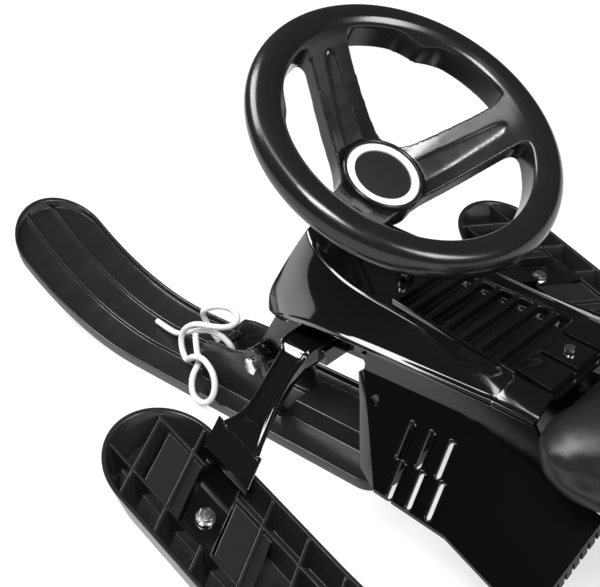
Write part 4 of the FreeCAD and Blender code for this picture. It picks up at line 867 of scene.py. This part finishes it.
# seat pad: the CAD form drawn in, made soft and blown up again, each point as far as the cap
seat = {
    "voxel": 5,
    "pressure": 4.0,
    "cap": 5,
    "shrink": 1.5,
    "ease": 5,
    # what the base holds still: all below the first level, and the middle below the second
    "heldLevel": 158,
    "middleHalf": 66,
    "middleLevel": 182,
    "steps": 20,
}


def makeSeat():
    piece = newPiece("seatPad", meshFrom(weldedForm("seat_pad"), "seatPad"), "seat_pad")
    inward = piece.modifiers.new("inward", "DISPLACE")
    inward.strength = -seat["shrink"] * mm
    inward.mid_level = 0
    remesh = piece.modifiers.new("voxels", "REMESH")
    remesh.mode = "VOXEL"
    remesh.voxel_size = seat["voxel"] * mm
    ease = piece.modifiers.new("ease", "SMOOTH")
    ease.factor = 0.5
    ease.iterations = seat["ease"]
    settled(piece)
    start = [vert.co.copy() for vert in piece.data.vertices]
    held = []
    for vert in piece.data.vertices:
        inMiddle = abs(vert.co.y) < seat["middleHalf"] * mm and vert.co.z < seat["middleLevel"] * mm
        if inMiddle or vert.co.z < seat["heldLevel"] * mm:
            held.append(vert.index)
    piece.vertex_groups.new(name="held").add(held, 1.0, "REPLACE")
    cloth = piece.modifiers.new("cloth", "CLOTH")
    cloth.settings.use_pressure = True
    cloth.settings.uniform_pressure_force = seat["pressure"]
    cloth.settings.effector_weights.gravity = 0
    cloth.settings.vertex_group_mass = "held"
    cloth.point_cache.frame_start = 1
    cloth.point_cache.frame_end = seat["steps"]
    for step in range(1, seat["steps"] + 1):
        bpy.context.scene.frame_set(step)
    settled(piece)
    bpy.context.scene.frame_set(1)
    for vert, before in zip(piece.data.vertices, start):
        move = vert.co - before
        if move.length > seat["cap"] * mm:
            vert.co = before + move.normalized() * seat["cap"] * mm
    levels = piece.modifiers.new("levels", "SUBSURF")
    levels.levels = 1
    levels.render_levels = 1
    settled(piece)
    piece.data.materials.clear()
    piece.data.materials.append(seatVinyl)
    piece.data.shade_smooth()
    return piece


makeSeat()
print("seat made")

# tow rope: from its end on the ski, round the cross bar, over itself and out to a hanging loop
rope = {
    "diameter": 7,
    "length": 0.668,  # metres
    "route": (
        (346, -8, 12.5), (312, -4, 11), (286, 1, 20), (262, 3, 33), (240, 8, 46), (222, 4, 51),
        (204, 1, 48), (190, -1, 36), (201, -5, 22), (222, -9, 24), (242, -12, 36), (248, -9, 54),
        (240, -5, 68), (224, -15, 74), (205, -23, 71), (190, -16, 65), (192, -1, 62), (210, 8, 62),
        (230, 12, 61), (248, 15, 53), (260, 18, 39), (256, 24, 25), (240, 32, 19), (223, 39, 28),
        (204, 49, 46), (182, 48, 54), (161, 51, 41), (153, 61, 23), (164, 69, 8.5), (187, 68, 10),
        (199, 56, 25), (198, 42, 37), (210, 35, 48), (222, 24, 56),
    ),
}


def makeRope():
    line = bpy.data.curves.new("towRope", "CURVE")
    line.dimensions = "3D"
    line.bevel_depth = rope["diameter"] / 2 * mm
    line.bevel_resolution = 5
    line.use_fill_caps = True
    path = line.splines.new("NURBS")
    path.points.add(len(rope["route"]) - 1)
    for point, place in zip(path.points, rope["route"]):
        point.co = (*[c * mm for c in place], 1)
    path.order_u = 3
    path.use_endpoint_u = True
    path.resolution_u = 10
    piece = linked("towRope", line)
    line.materials.append(ropeWhite)
    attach(piece, bodyOf["tow_rope"])
    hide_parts("tow_rope")
    return piece


makeRope()
print("rope made")

# floor, surroundings, lamps and camera, in metres
stage = {
    "floorColour": (0.3, 0.3, 0.3),
    "floorDrop": 0.0004,
    "floorRadius": 12.0,
    # glow near the object and far off, and where the change starts and ends
    "glow": (0.72, 1.0),
    "glowSpan": (0.9, 3.0),
    "ceiling": 0.05,
    "lamps": (
        # place, aim, width, height, watts
        ((-1.2, 1.2, 2.3), (0, 0, 0.2), 1.1, 0.6, 62),
        ((0.0, 1.15, 2.45), (0, 0, 0.2), 1.5, 0.3, 11),
        ((1.5, 0.5, 2.1), (0, 0, 0.2), 1.6, 1.1, 65),
        ((-2.2, -0.6, 1.7), (0, 0, 0.2), 0.9, 0.7, 34),
    ),
}


def makeFloor():
    # a matt floor that also glows for the camera and for mirrors, so that it is seen as white
    form = bmesh.new()
    bmesh.ops.create_circle(form, cap_ends=True, segments=96, radius=stage["floorRadius"])
    floor = linked("floor", meshFrom(form, "floor"))
    floor.location.z = -stage["floorDrop"]
    material = bpy.data.materials.new("floorWhite")
    material.use_nodes = True
    tree = material.node_tree
    tree.nodes.clear()
    out = tree.nodes.new("ShaderNodeOutputMaterial")
    matt = tree.nodes.new("ShaderNodeBsdfDiffuse")
    glow = tree.nodes.new("ShaderNodeEmission")
    both = tree.nodes.new("ShaderNodeAddShader")
    ray = tree.nodes.new("ShaderNodeLightPath")
    seen = tree.nodes.new("ShaderNodeMath")
    seen.operation = "MAXIMUM"
    through = tree.nodes.new("ShaderNodeMath")
    through.operation = "MAXIMUM"
    level = tree.nodes.new("ShaderNodeMath")
    level.operation = "MULTIPLY"
    place = tree.nodes.new("ShaderNodeTexCoord")
    away = tree.nodes.new("ShaderNodeVectorMath")
    away.operation = "LENGTH"
    rise = tree.nodes.new("ShaderNodeMapRange")
    rise.inputs["From Min"].default_value, rise.inputs["From Max"].default_value = stage["glowSpan"]
    rise.inputs["To Min"].default_value, rise.inputs["To Max"].default_value = stage["glow"]
    tree.links.new(place.outputs["Object"], away.inputs[0])
    tree.links.new(away.outputs["Value"], rise.inputs["Value"])
    tree.links.new(rise.outputs["Result"], level.inputs[1])
    matt.inputs["Color"].default_value = (*stage["floorColour"], 1)
    tree.links.new(ray.outputs["Is Camera Ray"], seen.inputs[0])
    tree.links.new(ray.outputs["Is Glossy Ray"], seen.inputs[1])
    tree.links.new(seen.outputs[0], through.inputs[0])
    tree.links.new(ray.outputs["Is Transmission Ray"], through.inputs[1])
    tree.links.new(through.outputs[0], level.inputs[0])
    tree.links.new(level.outputs[0], glow.inputs["Strength"])
    tree.links.new(matt.outputs[0], both.inputs[0])
    tree.links.new(glow.outputs[0], both.inputs[1])
    tree.links.new(both.outputs[0], out.inputs["Surface"])
    floor.data.materials.append(material)


def makeSurroundings():
    # white where the camera looks past the floor, dim for light and mirrors
    world = bpy.data.worlds.new("studio")
    world.use_nodes = True
    sky = world.node_tree.nodes["Background"]
    seenSky = world.node_tree.nodes.new("ShaderNodeLightPath")
    skyLevel = world.node_tree.nodes.new("ShaderNodeMapRange")
    skyLevel.inputs["To Min"].default_value = stage["ceiling"]
    skyLevel.inputs["To Max"].default_value = 1.0
    sky.inputs["Color"].default_value = (1, 1, 1, 1)
    world.node_tree.links.new(seenSky.outputs["Is Camera Ray"], skyLevel.inputs["Value"])
    world.node_tree.links.new(skyLevel.outputs["Result"], sky.inputs["Strength"])
    bpy.context.scene.world = world


def makeLamps():
    for index, (place, aim, wide, tall, watts) in enumerate(stage["lamps"]):
        lamp = bpy.data.lights.new("softbox%d" % index, "AREA")
        lamp.shape = "RECTANGLE"
        lamp.size = wide
        lamp.size_y = tall
        lamp.energy = watts
        holder = linked("softbox%d" % index, lamp)
        holder.location = place
        holder.rotation_euler = (Vector(aim) - Vector(place)).to_track_quat("-Z", "Y").to_euler()
        holder.visible_camera = False


makeFloor()
makeSurroundings()
makeLamps()

camera = {
    "place": Vector((-657.29, 620.27, 699.53)) * mm,
    "heading": -0.71248,
    "pitch": 0.52349,
    "roll": -0.13539,
    "focalPixels": 1089.09,
    "frameWidth": 600,
    "sensor": 36,
}


def makeCamera():
    heading, pitch, roll = camera["heading"], camera["pitch"], camera["roll"]
    level = math.cos(pitch)
    ahead = Vector((math.cos(heading) * level, math.sin(heading) * level, -math.sin(pitch)))
    across = Vector((math.sin(heading), -math.cos(heading), 0))
    up = across.cross(ahead)
    right = across * math.cos(roll) + up * math.sin(roll)
    up = up * math.cos(roll) - across * math.sin(roll)
    lens = bpy.data.cameras.new("photoCamera")
    lens.sensor_width = camera["sensor"]
    lens.sensor_fit = "HORIZONTAL"
    lens.lens = camera["focalPixels"] / camera["frameWidth"] * camera["sensor"]
    lens.clip_start = 0.02
    lens.clip_end = 200
    holder = linked("photoCamera", lens)
    turn = Matrix((right, up, -ahead)).transposed().to_4x4()
    holder.matrix_world = Matrix.Translation(camera["place"]) @ turn
    bpy.context.scene.camera = holder


makeCamera()
bpy.context.scene.view_settings.view_transform = "Standard"
print("stage and camera made")
